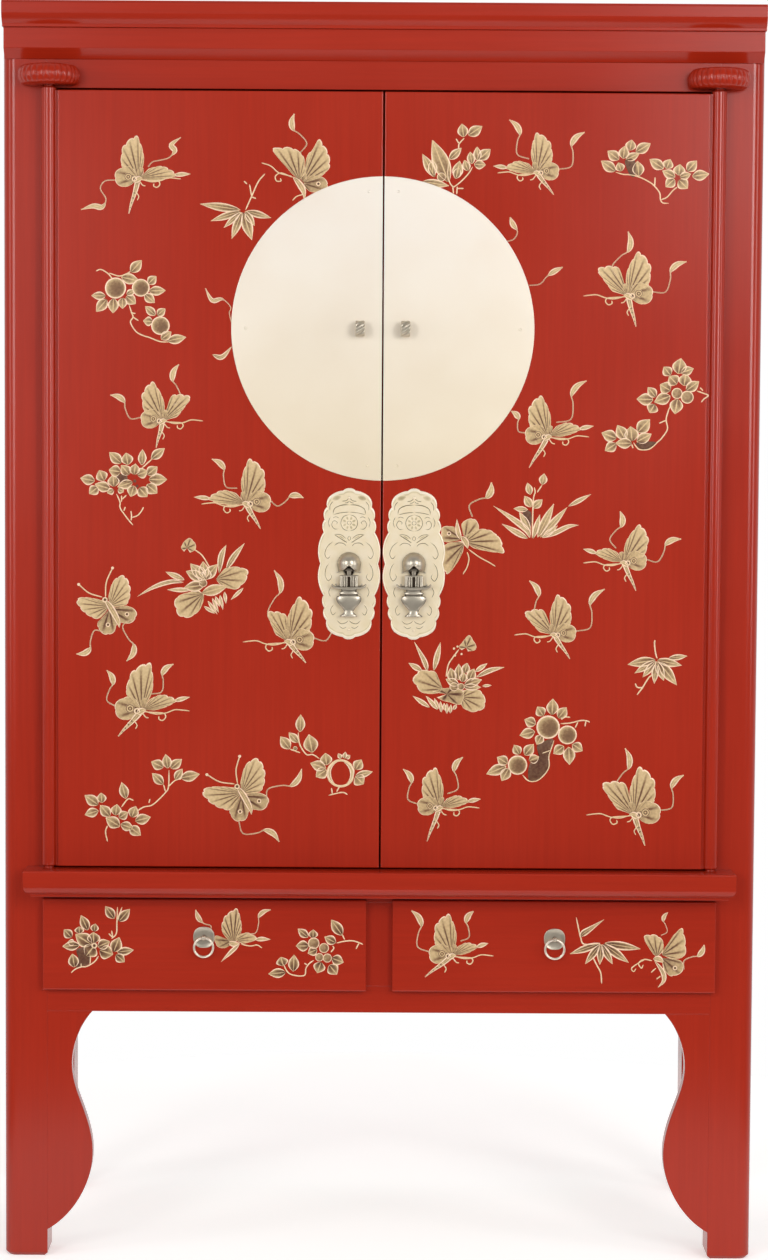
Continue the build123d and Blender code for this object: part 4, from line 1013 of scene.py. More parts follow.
strokes += flying(634, 815, -1, (640, 766), (601.5, 784), (645, 846), [(684, 775), (625, 748)], True)
strokes += [ribbon((472.5, 517.1), (491.4, 482), 0.3, 7.5), *(fan(*wing) for wing in facing_wings)]
strokes += [disc(*facing_eye, dark_eye, 0), fan(facing_top_wing, (465, 538), 4, 0.45)]
strokes += [blade(path, width, shade=0.3) for path, width in facing_body]
strokes += twigs(facing_feelers, 1.3, 0.84)
paint("right_door_painting", "right_door", "right_door_panel", strokes)

# ------------------------------------------------------------------ drawers' paintings
# The left drawer has blossom, a butterfly over its ring and small fruit, and the right one a
# butterfly on the wing, bamboo and another butterfly. Both are laid and gilded as on the doors.
drawer_blossom_leaves = [
    (88.1, 930.5, 80.8, 915, 8), (94, 931.7, 95.2, 923.5, 7), (71.7, 937.6, 63.8, 929.3, 8),
    (79.3, 933.5, 79.3, 926.4, 8), (79.9, 945.2, 62, 946.4, 8), (74.6, 943.4, 67.6, 941.7, 6),
    (92, 945, 75, 934, 12), (93.7, 943.4, 93.4, 931.9, 11), (94.5, 945.8, 85.5, 956.5, 13),
    (99.3, 950, 113.4, 954.6, 12), (97.5, 946.9, 110.2, 941.3, 9), (113.4, 952.2, 119.5, 937, 10),
    (116.9, 952.2, 134, 949.9, 7), (115.7, 954.6, 124.8, 962.2, 8), (74.6, 967.5, 72.3, 953.4, 9),
    (114.5, 918.8, 105.1, 905.9, 8), (118.6, 921.7, 130, 908.8, 8)]
drawer_blossom_twigs = [
    [(71.1, 972.8), (75.2, 969.2), (81.1, 966.9), (86.9, 966.3), (94.6, 961.6), (98.7, 955.8)],
    [(89.9, 964), (90.5, 956.9)], [(81.1, 966.9), (81.1, 963.4)], [(111.6, 938.7), (116.3, 933.5),
    (116.9, 922.3), (117.5, 907)], [(116.9, 920.5), (122.2, 907)], [(112.8, 937.6), (111.6, 930.5)],
    [(112.8, 937.6), (108.7, 933.5)]]
drawer_blossom_ground = [(76.4, 949.9), (84, 947), (88, 952), (90, 957), (88.7, 964.6), (81.1, 966.3),
                         (75.8, 967.5), (78.1, 958.7)]
drawer_blossom_heart = (94.3, 945.6, 3.0)
drawer_fruit_leaves = [
    (308.2, 937.4, 297.6, 928.6, 7), (312.9, 938.3, 313.3, 929.5, 8), (309.1, 945.9, 295.6, 945.9, 9),
    (317.1, 949.4, 307.6, 953.4, 8), (342.5, 935.5, 330.9, 919.3, 9), (336.1, 943, 324.3, 936.7, 8),
    (331.5, 958, 343.8, 962.6, 9), (321.1, 962, 317.1, 973.2, 10), (329.2, 964.9, 337.2, 974.6, 10),
    (283.2, 966, 280.9, 956.8, 10), (286.1, 972.3, 268, 974, 8), (293.3, 971.7, 294.1, 954.5, 9)]
drawer_fruit_twigs = [
    [(283.2, 963.7), (287.8, 972.3), (295.3, 975.5), (304.5, 975.2), (305.9, 968.3), (309.1, 963.7),
    (313.7, 960.3)], [(306.8, 964.9), (304.5, 963.1)], [(336.6, 943), (344.1, 941.3), (352, 940.7),
    (358.5, 942.5), (363, 944.5)], [(359, 943), (356, 949)], [(344.7, 939.6), (342.4, 935)],
    [(332.6, 945.9), (333.8, 948.2), (330.9, 952.2)]]
drawer_fruit = [(319.4, 957.2, 4.2), (327.3, 958, 4.5), (324, 948, 5.0), (313.7, 943.3, 5.8)]
drawer_bamboo = [
    (600.9, 943.1, 569.2, 954.2, 6), (600.5, 944, 584.8, 964.5, 6), (600.9, 944, 599.7, 965.2, 6),
    (601.5, 944, 612.8, 964.5, 6), (603, 943.5, 629.3, 963.1, 7), (604, 943, 641.4, 949.1, 7)]
drawer_bamboo_twigs = [
    [(600, 943.5), (584.4, 944.2), (580.6, 937.5), (576.3, 917.4)], [(593, 957.4), (596.8, 965.2),
    (600.7, 972.9), (601.7, 983.6)]]
drawer_bamboo_sheath = [(581, 937), (583, 933.7), (590, 929), (605, 918.9)]
ring_streamer = [(211, 929), (210.5, 925.5), (204, 923.5), (198.5, 918), (195.4, 909.5)]
ring_butterfly_big_wing = [
    (229, 941), (223.1, 933.7), (221.3, 926.3), (224.1, 917), (228.7, 912.4), (237, 908.2), (240.7, 918.9),
    (241.6, 930), (237, 941)]
ring_butterfly_low_wing = [(224, 938), (214.8, 935.5), (215.7, 944.8), (223.1, 948.5), (231.5, 944.8)]
ring_butterfly_wing = [(237, 936), (241.6, 933.7), (249, 932.7), (257.4, 938.3), (251, 942), (242, 944)]
ring_wing_tail = [(255, 939.7), (262, 939), (270.9, 939.5)]
ring_abdomen = [(239.8, 943.7), (232, 951), (220.4, 962.4)]
ring_thorax = [(228, 942), (234, 944), (240, 943)]
ring_feeler = [(241, 944), (250, 946), (257, 945), (262, 948)]
end_butterfly_wings = [
    ([(653, 954), (646.1, 943.3), (644.2, 935.6), (655.7, 934.6), (663.3, 941.4), (663, 952)], (657, 957)),
    ([(662, 952), (668.1, 943.3), (674.8, 933.7), (682.5, 928), (685.4, 938.5), (686.3, 947.1),
    (684.4, 956.7), (672, 959.6)], (662, 955))]
end_low_wing = [(664, 958), (680.2, 960.3), (684, 970), (672.4, 976.8), (663, 970)]
end_abdomen = [(654, 960), (662.7, 972), (663.7, 980.7), (657.4, 988)]
end_thorax = [(653, 959), (659, 959), (664, 963)]
end_feelers = [[(652.1, 960.8), (644.3, 959.4), (638.5, 963.3), (641.4, 968.1), (643.3, 964.7)],
               [(645, 959.5), (639.5, 962.3), (631.7, 968.1), (633.6, 971.5), (636.1, 968.6)],
               [(655.9, 968.1), (651.1, 972.5)], [(660.8, 975.9), (656.4, 979.2)]]

strokes = twigs(drawer_blossom_twigs) + [patch(drawer_blossom_ground)]
strokes += leaves(drawer_blossom_leaves, 0.8) + [disc(*drawer_blossom_heart, dark_eye, 0)]
strokes += [blade(ring_streamer, 5.5, ribboned), ribbon((244.4, 932.8), (271.2, 909.6), -0.3, 5),
            fan(ring_butterfly_low_wing, (231, 941), 4, 0.4, 0.6),
            fan(ring_butterfly_wing, (235, 940), 5, 0.45),
            blade(ring_wing_tail, 4.4, shade=0.3), fan(ring_butterfly_big_wing, (233.4, 943), 10, 0.9),
            blade(ring_abdomen, 4.0, shade=0.35), blade(ring_thorax, 5.5, shade=0.25)]
strokes += twigs([ring_feeler], 1.3, 0.84) + twigs(drawer_fruit_twigs)
strokes += leaves(drawer_fruit_leaves, 0.75) + rounds(drawer_fruit, berry)
paint("left_drawer_painting", "left_drawer", "left_drawer_front", strokes)

strokes = flying(452, 956, 1, (448.3, 913.1), (488.6, 943.2), (424.6, 977.3),
                 [(410.9, 910.1), (474, 910.9)])
strokes += twigs(drawer_bamboo_twigs, 1.5) + leaves(drawer_bamboo, 0.8)
strokes += [blade(drawer_bamboo_sheath, 6, shade=0.7), ribbon((660.5, 935.6), (668.1, 912.2), -0.3, 4.5),
            ribbon((684, 970), (704.4, 944.4), 0.25, 6), fan(end_low_wing, (662, 958), 4, 0.4, 0.58),
            disc(675, 968, 2.4, dark_eye, 0)]
strokes += [fan(outline, root, 6) for outline, root in end_butterfly_wings]
strokes += [blade(end_abdomen, 4.6, shade=0.35), blade(end_thorax, 6, shade=0.25)]
strokes += twigs(end_feelers, 1.3, 0.84)
paint("right_drawer_painting", "right_drawer", "right_drawer_front", strokes)


# ------------------------------------------------------------------ brass
# Sheet brass, rolled, cut to a half moon for each door, and nailed on. It was polished by hand
# and is now a pale cream gold under its wax.
def sheet_brass():
    """Pale waxed sheet brass: a soft sheen, cloudy, with a painted reflection: whiter high up, yellower low
    down.
    """
    material, tree, output = start_material("polished_sheet_brass")
    cloud_width, rub_width = 111.1, 1.429
    # Heights in metres over which the painted reflection fades from the upper colour to the lower one.
    reflection_from, reflection_to = 1.55, 1.22
    place = add_node(tree, "TexCoord").outputs["Object"]
    clouds = add_node(tree, "TexNoise", inputs={"Vector": place, "Scale": repeats(cloud_width),
                                                "Detail": 4.0})
    axes = add_node(tree, "SeparateXYZ", inputs={0: place})
    # Painted reflection: the plate is whiter and pinker at the top and yellower towards the bottom.
    reflection_fade = add_node(tree, "MapRange", inputs={"Value": axes.outputs["Z"], "From Min": reflection_from,
                                                 "From Max": reflection_to})
    upper = add_node(tree, "Mix", {"data_type": "RGBA"},
                     {"Factor": clouds.outputs["Fac"], "A": linear("#fff0de"), "B": linear("#fff8ee")})
    lower = add_node(tree, "Mix", {"data_type": "RGBA"},
                     {"Factor": clouds.outputs["Fac"], "A": linear("#f8e6c6"), "B": linear("#fff0d6")})
    colour = add_node(tree, "Mix", {"data_type": "RGBA"},
                      {"Factor": reflection_fade.outputs[0], "A": upper.outputs["Result"],
                       "B": lower.outputs["Result"]})
    rub = add_node(tree, "Mapping", inputs={"Vector": place, "Scale": (1.0, 1.0, 0.05)})
    marks = add_node(tree, "TexNoise", inputs={"Vector": rub.outputs[0], "Scale": repeats(rub_width),
                                               "Detail": 2.0})
    rough = add_node(tree, "MapRange", inputs={"Value": clouds.outputs["Fac"], "To Min": 0.34,
                                               "To Max": 0.48})
    arris = add_node(tree, "Bevel", {"samples": 4}, {"Radius": 0.6 * mm})
    bump = add_node(tree, "Bump", inputs={"Strength": 0.08, "Distance": 0.1 * mm,
                                          "Height": marks.outputs["Fac"], "Normal": arris.outputs[0]})
    metal = add_node(tree, "BsdfPrincipled",
                     inputs={"Base Color": colour.outputs["Result"], "Metallic": 0.45,
                             "Roughness": rough.outputs[0], "Normal": bump.outputs[0]})
    tree.links.new(metal.outputs[0], output.inputs["Surface"])
    return material


brass = sheet_brass()
dress(both_sides("moon_plate", "door_nails"), brass)


# ------------------------------------------------------------------ white brass
# Paktong, a white nickel brass: cast for the mounts and drawn into wire for the rings, then
# filed and polished. Its hollows are darkened, partly with dirt and partly with painted shade.
def white_brass(name, dull, bright, hollow_reach):
    """White brass: bright on its rounds, brown-black in its hollows (soiling and painted shade), slightly
    yellow grey.

    The tone attribute is soiling and painted shade: 0, or none, on worn metal, 1 in a slot, and below
    0 where it is rubbed so bright that soiling doesn't stay. Hollows narrower than hollow_reach, in mm,
    are darkened too by occlusion, as soiling and painted shade.
    """
    material, tree, output = start_material(name)
    cloud_width = 11.11
    place = add_node(tree, "TexCoord").outputs["Object"]
    clouds = add_node(tree, "TexNoise", inputs={"Vector": place, "Scale": repeats(cloud_width),
                                                "Detail": 4.0})
    shaded_hollow = add_node(tree, "AmbientOcclusion", {"samples": 6}, {"Distance": hollow_reach * mm})
    occluded_dirt_and_shade = add_node(tree, "MapRange", inputs={"Value": shaded_hollow.outputs["AO"], "From Min": 0.3,
                                              "From Max": 0.85})
    clean = add_node(tree, "Mix", {"data_type": "RGBA"},
                     {"Factor": clouds.outputs["Fac"], "A": linear(dull), "B": linear(bright)})
    grime_and_shade = add_node(tree, "Attribute", {"attribute_name": "tone"})
    # How much clean metal shows: the occlusion's dirt and painted shade, less the tone attribute's grime and
    # painted shade.
    rubbed = add_node(tree, "Math", {"operation": "SUBTRACT", "use_clamp": True},
                      {0: occluded_dirt_and_shade.outputs[0], 1: grime_and_shade.outputs["Fac"]})
    colour = add_node(tree, "Mix", {"data_type": "RGBA"},
                      {"Factor": rubbed.outputs[0], "A": linear("#3a2c20"), "B": clean.outputs["Result"]})
    rough = add_node(tree, "MapRange", inputs={"Value": clouds.outputs["Fac"], "To Min": 0.26,
                                               "To Max": 0.38})
    metal = add_node(tree, "BsdfPrincipled",
                     inputs={"Base Color": colour.outputs["Result"], "Metallic": 0.75,
                             "Roughness": rough.outputs[0]})
    tree.links.new(metal.outputs[0], output.inputs["Surface"])
    return material


paktong = white_brass("cast_white_brass", "#c2b6a3", "#ddd3c0", 5)
drawn_paktong = white_brass("drawn_white_brass_wire", "#f2e6d0", "#fff6e6", 1.2)
dress(both_sides("ring_pull"), drawn_paktong)

# ------------------------------------------------------------------ ring mounts
# A small plate with a filed, raised rim, rounder at its top, nailed to the drawer. A turned ball
# stud is riveted through it and holds the ring's wire.
upper_square, lower_square = 0.84, 0.72
foot_taper = 0.12
stud_share = 0.85


def turned(middle_x, y, middle_z, reach, angle):
    """Circles about Y: each row has its own radius and depth, and the columns go round."""
    return np.stack([middle_x + reach * np.cos(angle), y + 0 * angle, middle_z + reach * np.sin(angle)], -1)


def ring_mount(side):
    """Two half ovals make the plate's rim, and circles along Y whose radius swells the stud.

    An oval's cosine and sine are raised to a power: the smaller the power, the squarer it is.
    """
    low, high, middle, half = box_mm(side + "_ring_mount")
    ring_high, ring_middle, ring_half = box_mm(side + "_ring_pull")[1:]
    turn = np.linspace(0, 2 * np.pi, 64, endpoint=False)[None, :]
    cos, sin = np.cos(turn), np.sin(turn)
    power = np.where(sin > 0, upper_square, lower_square)
    rim_x = half[0] * np.sign(cos) * np.abs(cos) ** power * (1 + foot_taper * np.minimum(sin, 0))
    rim_z = half[2] * np.sign(sin) * np.abs(sin) ** power
    shrink = np.array([0, 1, 1, 0.965, 0.92, 0.89, 0.5, 0])[:, None]
    level = np.array([-0.2, -0.2, 1.0, 1.5, 1.5, 1.2, 1.25, 1.25])[:, None]
    plate = np.stack([middle[0] + shrink * rim_x, high[1] - level + 0 * turn,
                      middle[2] + shrink * rim_z], -1)
    # Tone of the plate's rows: its raised rim rubbed bright, and painted shade at the rim's inner foot.
    plate_grime_and_shade = np.array([-0.2, -0.2, -0.3, -0.3, -0.2, 0.2, 0.0, 0.0])[:, None] + 0 * turn
    ball_y, ball_z = ring_middle[1], ring_high[2] - ring_half[1]
    ball = stud_share * (ball_y - low[1])
    lap = np.radians(np.linspace(-62, 90, 14))
    depth = np.concatenate([high[1] - np.array([1.0, 1.0, 2.0, 2.5]), ball_y - ball * np.sin(lap)])[:, None]
    reach = ball * np.concatenate([[0, 1.1, 1, 0.5], np.cos(lap)])[:, None]
    # Tone of the stud: grime and painted shade at its foot and under its ball, where it meets the plate; the
    # ball rubbed bright.
    stud_grime_and_shade = np.array([0.6, 0.6, 0.3, 0.8, 0.6, 0.3] + [-0.6] * 12)[:, None] + 0 * turn
    sheets = [sheet(plate, wrap_columns=True),
              sheet(turned(middle[0], depth, ball_z, reach, turn), wrap_columns=True)]
    return sheets, [plate_grime_and_shade.ravel(), stud_grime_and_shade.ravel()]


for side in ("left", "right"):
    sheets, tones = ring_mount(side)
    piece(side + "_ring_backplate", sheets, paktong, side + "_drawer",
          [side + "_ring_mount"], tones=tones)


# ------------------------------------------------------------------ lock eyelets
# Short cast tubes on a shank that is riveted through the moon plate, filed with slanting
# grooves like a rope. The bar of a padlock goes through both.
groove_count = 8
rope_depth = 1.5
bar_hole = 6.0
rounding = 1.4
shank_x, shank_z = 4.6, 4.0
shank_start = 8.0


def eyelet(side):
    """A thick ring about X: a rounded section carried round, its outside cut by a helical wave."""
    low, high, middle, half = box_mm(side + "_lock_eyelet")
    width, outer = half[0], half[2]
    axis_y = low[1] + outer
    turn = np.linspace(0, 2 * np.pi, groove_count * 16, endpoint=False)[:, None]
    across = np.concatenate([np.linspace(-width + rounding, width - rounding, 15),
                             [width - 0.4, width, width - 0.3],
                             np.linspace(width - rounding, -width + rounding, 5),
                             [-width + 0.3, -width, -width + 0.4]])
    reach = np.concatenate([np.full(15, outer), [outer - 0.4, outer - rounding, bar_hole + 0.4],
                            np.full(5, bar_hole), [bar_hole + 0.4, outer - rounding, outer - 0.4]])
    outside = np.concatenate([np.ones(15), [0.8, 0.3, 0], np.zeros(5), [0, 0.3, 0.8]])
    wave = 0.5 + 0.5 * np.cos(groove_count * (turn + across / outer))
    reach = reach - rope_depth * outside * wave ** 3
    ring = np.stack([middle[0] + across + 0 * turn, axis_y + reach * np.cos(turn),
                     middle[2] + reach * np.sin(turn)], -1)
    spread = np.linspace(0, 2 * np.pi, 24, endpoint=False)[None, :]
    depth = np.array([axis_y + shank_start, high[1] - 1.2, high[1]])[:, None]
    flare = np.array([1.0, 1.0, 1.25])[:, None]
    shank = np.stack([middle[0] + shank_x * flare * np.cos(spread), depth + 0 * spread,
                      middle[2] + shank_z * flare * np.sin(spread)], -1)
    return [sheet(ring, wrap_rows=True, wrap_columns=True), sheet(shank, wrap_columns=True)]


for side in ("left", "right"):
    piece(side + "_twisted_eyelet", eyelet(side), paktong, side + "_door",
          [side + "_lock_eyelet"])


# ------------------------------------------------------------------ escutcheons
# Scalloped plates of thick sheet brass, chased from the front: a raised rim runs round the
# edge, with a rosette under an arch above the pull and scrolls below it and down both sides.
strike_depth = 0.42
field_tone = 0.72
field_sink = 1.3
chased_surface = 0.2


def arc(start, middle, end, steps):
    """Points on the circle through three points, from the first towards the last."""
    ax, ay = start
    bx, by = middle
    cx, cy = end
    twice = 2 * (ax * (by - cy) + bx * (cy - ay) + cx * (ay - by))
    a2, b2, c2 = ax * ax + ay * ay, bx * bx + by * by, cx * cx + cy * cy
    ux = (a2 * (by - cy) + b2 * (cy - ay) + c2 * (ay - by)) / twice
    uy = (a2 * (cx - bx) + b2 * (ax - cx) + c2 * (bx - ax)) / twice
    first, last = math.atan2(ay - uy, ax - ux), math.atan2(cy - uy, cx - ux)
    sweep = (last - first + math.pi) % (2 * math.pi) - math.pi
    angle = first + sweep * np.linspace(0, 1, steps, endpoint=False)
    radius = math.hypot(ax - ux, ay - uy)
    return np.stack([ux + radius * np.cos(angle), uy + radius * np.sin(angle)], 1)


def scalloped_edge(width, height):
    """The plate's outline: six swelling lobes a quarter, mirrored to both sides and ends."""
    notches = np.array([(0.93, 0), (0.82, 0.42), (0.79, 0.585), (0.72, 0.75), (0.56, 0.915),
                        (0.2, 0.968), (0, 1)]) * (width, height)
    swells = np.array([(1, 0.19), (0.865, 0.505), (0.825, 0.67), (0.7, 0.85), (0.39, 0.951),
                       (0.12, 0.992)]) * (width, height)
    quarter = np.concatenate([arc(*lobe, 9) for lobe in zip(notches, swells, notches[1:])])
    upper = np.concatenate([quarter, [[0, height]], quarter[:0:-1] * (-1, 1)])
    return np.concatenate([upper, upper * (-1, -1)])


def chased_brass():
    """Chased brass: cream where it is rubbed, olive brown in its struck lines (tarnish and painted shade),
    bright at its rim (painted highlight).
    """
    material, tree, output = start_material("chased_sheet_brass")
    cloud_width = 14.29
    tone = add_node(tree, "Attribute", {"attribute_name": "tone"})
    place = add_node(tree, "TexCoord").outputs["Object"]
    clouds = add_node(tree, "TexNoise", inputs={"Vector": place, "Scale": repeats(cloud_width),
                                                "Detail": 4.0})
    shift = add_node(tree, "MapRange", inputs={"Value": clouds.outputs["Fac"], "From Min": 0.3,
                                               "From Max": 0.7, "To Min": -0.1, "To Max": 0.08})
    mixed = add_node(tree, "Math", {"operation": "ADD"}, {0: tone.outputs["Fac"], 1: shift.outputs[0]})
    ramp = add_node(tree, "ValToRGB", inputs={"Fac": mixed.outputs[0]})
    stops = ramp.color_ramp.elements
    for share, hex_colour in ((0.3, "#a8986f"), (0.62, "#f3e0ba")):
        stops.new(share).color = linear(hex_colour)
    stops[0].color = linear("#4c4029")
    stops[-1].color = linear("#fff1da")
    metal = add_node(tree, "BsdfPrincipled",
                     inputs={"Base Color": ramp.outputs["Color"], "Metallic": 0.25, "Roughness": 0.36})
    tree.links.new(metal.outputs[0], output.inputs["Surface"])
    return material


def chased_line(path, width):
    """A struck line in X and Z: a groove painted dark (tarnish and painted shade) with a painted highlight on
    the burr either side of it.
    """
    path = smooth(path, 6)
    share = np.linspace(0, 1, len(path))
    taper = np.minimum(1, 0.3 + 5 * np.minimum(share, 1 - share))
    flat = strip(path, width * taper, np.array([-1.0, -0.62, -0.25, 0.25, 0.62, 1.0]))
    lift = strike_depth * np.array([-0.25, 1.0, 0.1, 0.1, 1.0, -0.25]) * taper[:, None]
    # Painted shade in the groove's bottom, partly tarnish, and a painted highlight along the burrs.
    tone = np.array([0.72, 0.92, 0.12, 0.12, 0.92, 0.72]) - field_tone
    return flat, lift, field_tone + tone * taper[:, None]


def shaded_hollow(x, z, reach, width, turn):
    """A leaf-shaped hollow, darkest in its middle with painted shade and tarnish: rings of an ellipse drawn
    to a point at both ends.
    """
    ring = np.array([0, 0.5, 0.85, 1.0])[:, None]
    angle = np.linspace(0, 2 * np.pi, 33)[None, :]
    along = reach * ring * np.cos(angle)
    across = width * ring * np.sin(angle) * np.abs(np.sin(angle)) ** 0.4
    cos, sin = math.cos(math.radians(turn)), math.sin(math.radians(turn))
    flat = np.stack([x + cos * along - sin * across, z + sin * along + cos * across], -1)
    lift = np.array([0.04, 0.04, 0.08, -0.05])[:, None] + 0 * angle
    # The hollow is barely sunk: its dark middle is painted shade, with tarnish, standing in for its depth.
    return flat, lift, np.array([0.4, 0.45, 0.58, 0.85])[:, None] + 0 * angle


half_chasing = [([(0, 88), (12, 87), (22, 82), (24.5, 73)], 1.6), ([(0, 77), (12, 76), (24.5, 73)], 1.1),
                ([(0, 98), (5, 94), (11, 93)], 1.2), ([(0, 93.5), (3, 91), (7, 90.5)], 1.0),
                ([(24, 93), (28.5, 87), (29, 79)], 1.2), ([(28, 70), (31, 62), (29, 54)], 1.1),
                ([(0, 73.5), (8.8, 69.8), (12.5, 61), (8.8, 52.2), (0, 48.5)], 1.2),
                ([(0, 64), (2.6, 62.5), (2.6, 59.5), (0, 58)], 0.9),
                ([(15.5, 52), (22, 52), (26, 58), (23, 64), (18, 62), (19.5, 58)], 1.1),
                ([(15, 68), (20, 70), (24.5, 68)], 1.0),
                ([(2.5, 31), (11, 36.5), (23, 44)], 1.6), ([(4, 37), (12, 43), (23, 44)], 1.1),
                ([(3, 25), (8, 30), (16, 31), (22, 27)], 1.2), ([(0, 42), (2.2, 38), (0, 34)], 1.0),
                ([(24, 33), (32, 26), (36, 15), (32, 8), (27, 13)], 1.2),
                ([(29, 2), (34, -6), (35.5, -17), (31, -25), (26, -20), (28, -14)], 1.2),
                ([(27, -34), (30, -42), (27, -50)], 1.1),
                ([(22, -60), (27, -68), (24, -76), (19, -72)], 1.1),
                ([(18, -84), (12, -89), (5, -88), (0, -84)], 1.2), ([(3, -94), (9, -96), (15, -92)], 1.1)]
rosette_turns = (-67.5, -22.5, 22.5, 67.5)
rosette_reach, rosette_z = 7.3, 61
chasing_hollows = [(19, 98, 8.0, 4.0, -18), (12, 39.5, 6.0, 1.8, 28)]
chasing_hollows += [(rosette_reach * math.cos(math.radians(turn)),
                     rosette_z + rosette_reach * math.sin(math.radians(turn)), 3.6, 2.0, turn)
                    for turn in rosette_turns]


def chased_plate(side):
    """A flat field inside the scalloped edge with a raised rim, painted bright on top and shaded at its inner
    foot, and the chasing laid on it.
    """
    low, high, middle, half = box_mm(side + "_escutcheon")
    edge = scalloped_edge(half[0], half[2])
    shrink = np.array([1.0, 1.0, 0.988, 0.968, 0.952, 0.93, 0.7, 0.45, 0.2, 0.0])
    level = np.array([0.0, 0.9, 1.45, 1.5, 1.12, 1.2, 1.25, 1.3, 1.35, 1.35])
    # Painted highlight on the rim's top and painted shade at its inner foot, down to the field's tone.
    rim_highlight_and_shade = np.array([0.6, 0.9, 1.0, 0.95, 0.5, 0.72, 0.76, 0.76, 0.76, 0.76])
    flat = edge[None, :, :] * shrink[:, None, None]
    forms = [(flat, level[:, None] - field_sink + 0 * flat[..., 0], rim_highlight_and_shade[:, None] + 0 * flat[..., 0])]
    for hand in (-1, 1):
        forms += [chased_line(np.asarray(path, float) * (hand, 1), width) for path, width in half_chasing]
        forms += [shaded_hollow(hand * x, z, reach, width, hand * turn)
                  for x, z, reach, width, turn in chasing_hollows]
    sheets, tones = [], []
    for number, (flat, lift, tone) in enumerate(forms):
        y = np.minimum(low[1] + chased_surface - lift * (1 + 0.005 * number), high[1])
        points = np.stack([middle[0] + flat[..., 0], y, middle[2] + flat[..., 1]], -1)
        sheets.append(sheet(points, wrap_columns=number == 0))
        tones.append(tone.ravel())
    return sheets, tones


chased = chased_brass()
for side in ("left", "right"):
    sheets, tones = chased_plate(side)
    piece(side + "_chased_escutcheon", sheets, chased, side + "_door",
          [side + "_escutcheon"], closed=False, tones=tones)


# ------------------------------------------------------------------ pull bosses
# A cast hood with an ogee arch in its lower half, over the pin that the pull swings on. Its
# tails end in small upturned points, and it is riveted through the escutcheon.
tail_turn = math.radians(36.8)
tail_span = math.radians(26)
tail_flare = 2.4
half_arch = [(-17.6, -13.2), (-13.5, -9.8), (-9.0, -7.6), (-5.0, -4.0), (0, -0.4)]
bowl_drop = 10.8


def there_and_back(half_path):
    """A path up to the middle and its mirror image in X, as one path."""
    half_path = np.array(half_path)
    return np.concatenate([half_path, half_path[-2::-1] * (-1, 1)])


def capped(form):
    """A form whose end rows are each drawn together onto their own middle."""
    first, last = (row.mean(1, keepdims=True) + 0 * row for row in (form[:1], form[-1:]))
    return np.concatenate([first, form, last])


def boss(side):
    """A dome swept round from one tail to the other, a lip along the arch, and a bowl below, painted dark
    inside as shade.

    The dome's radius grows towards the two tails; its height is that of a squashed half sphere.
    Its flanks are painted darker towards the edge as shade.
    """
    plate_low, _, middle, _ = box_mm(side + "_escutcheon")
    boss_low, _, _, boss_half = box_mm(side + "_pull_boss")
    plate_y, height, dome_radius = plate_low[1], plate_low[1] - boss_low[1], boss_half[0]
    angle = np.linspace(-tail_turn, np.pi + tail_turn, 61)[None, :]
    from_tail = np.minimum(angle + tail_turn, np.pi + tail_turn - angle)
    flare = np.clip(1 - from_tail / tail_span, 0, 1) ** 2
    ring = np.array([0, 0.2, 0.4, 0.58, 0.74, 0.86, 0.94, 0.985, 1.0, 1.0])[:, None]
    rise = np.clip(1 - ring ** 2.4, 0, 1) ** 0.62
    rise[-2:] = [[0.08], [-0.02]]
    dome = turned(middle[0], plate_y - height * rise, middle[2], ring * (dome_radius + tail_flare * flare),
                  angle)
    # Painted shade: the dome grows darker towards its edge, where it turns away.
    dome_edge_shade = np.clip((ring - 0.62) * 1.5, 0, 0.5) + 0 * angle
    arch = smooth(there_and_back(half_arch), 5)
    out = sideways(arch)
    turn = np.linspace(0, 2 * np.pi, 12, endpoint=False)[None, :]
    thick = 0.9 + 0.7 * np.sin(np.pi * np.linspace(0, 1, len(arch)))[:, None]
    from_middle = np.linalg.norm(arch, axis=1)[:, None] / dome_radius
    lip_rise = height * np.clip(1 - from_middle ** 2.4, 0.02, 1) ** 0.62 * 0.97
    lip = capped(np.stack([middle[0] + arch[:, :1] + out[:, :1] * thick * np.cos(turn),
                           plate_y - lip_rise - 0.9 * thick * np.sin(turn),
                           middle[2] + arch[:, 1:] + out[:, 1:] * thick * np.cos(turn)], -1))
    round_angle = np.linspace(0, 2 * np.pi, 40, endpoint=False)[None, :]
    bowl_ring = np.array([8.2, 8.0, 7.3, 6.6, 6.2, 4.0, 0.0])[:, None]
    bowl_rise = np.array([0.0, 2.6, 3.4, 3.0, 1.2, 0.7, 0.6])[:, None]
    bowl = turned(middle[0], plate_y - bowl_rise, middle[2] - bowl_drop, bowl_ring, round_angle)
    # Painted shade: the bowl under the hood is dark inside, lighter on its rim.
    bowl_shade = np.array([0.5, 0.1, 0.1, 0.9, 1, 1, 1])[:, None] + 0 * round_angle
    sheets = [sheet(dome), sheet(lip, wrap_columns=True), sheet(bowl, wrap_columns=True)]
    return sheets, [dome_edge_shade.ravel(), np.zeros(lip[..., 0].size), bowl_shade.ravel()]


for side in ("left", "right"):
    sheets, tones = boss(side)
    piece(side + "_hooded_boss", sheets, paktong, side + "_door",
          [side + "_pull_boss"], closed=False, tones=tones)


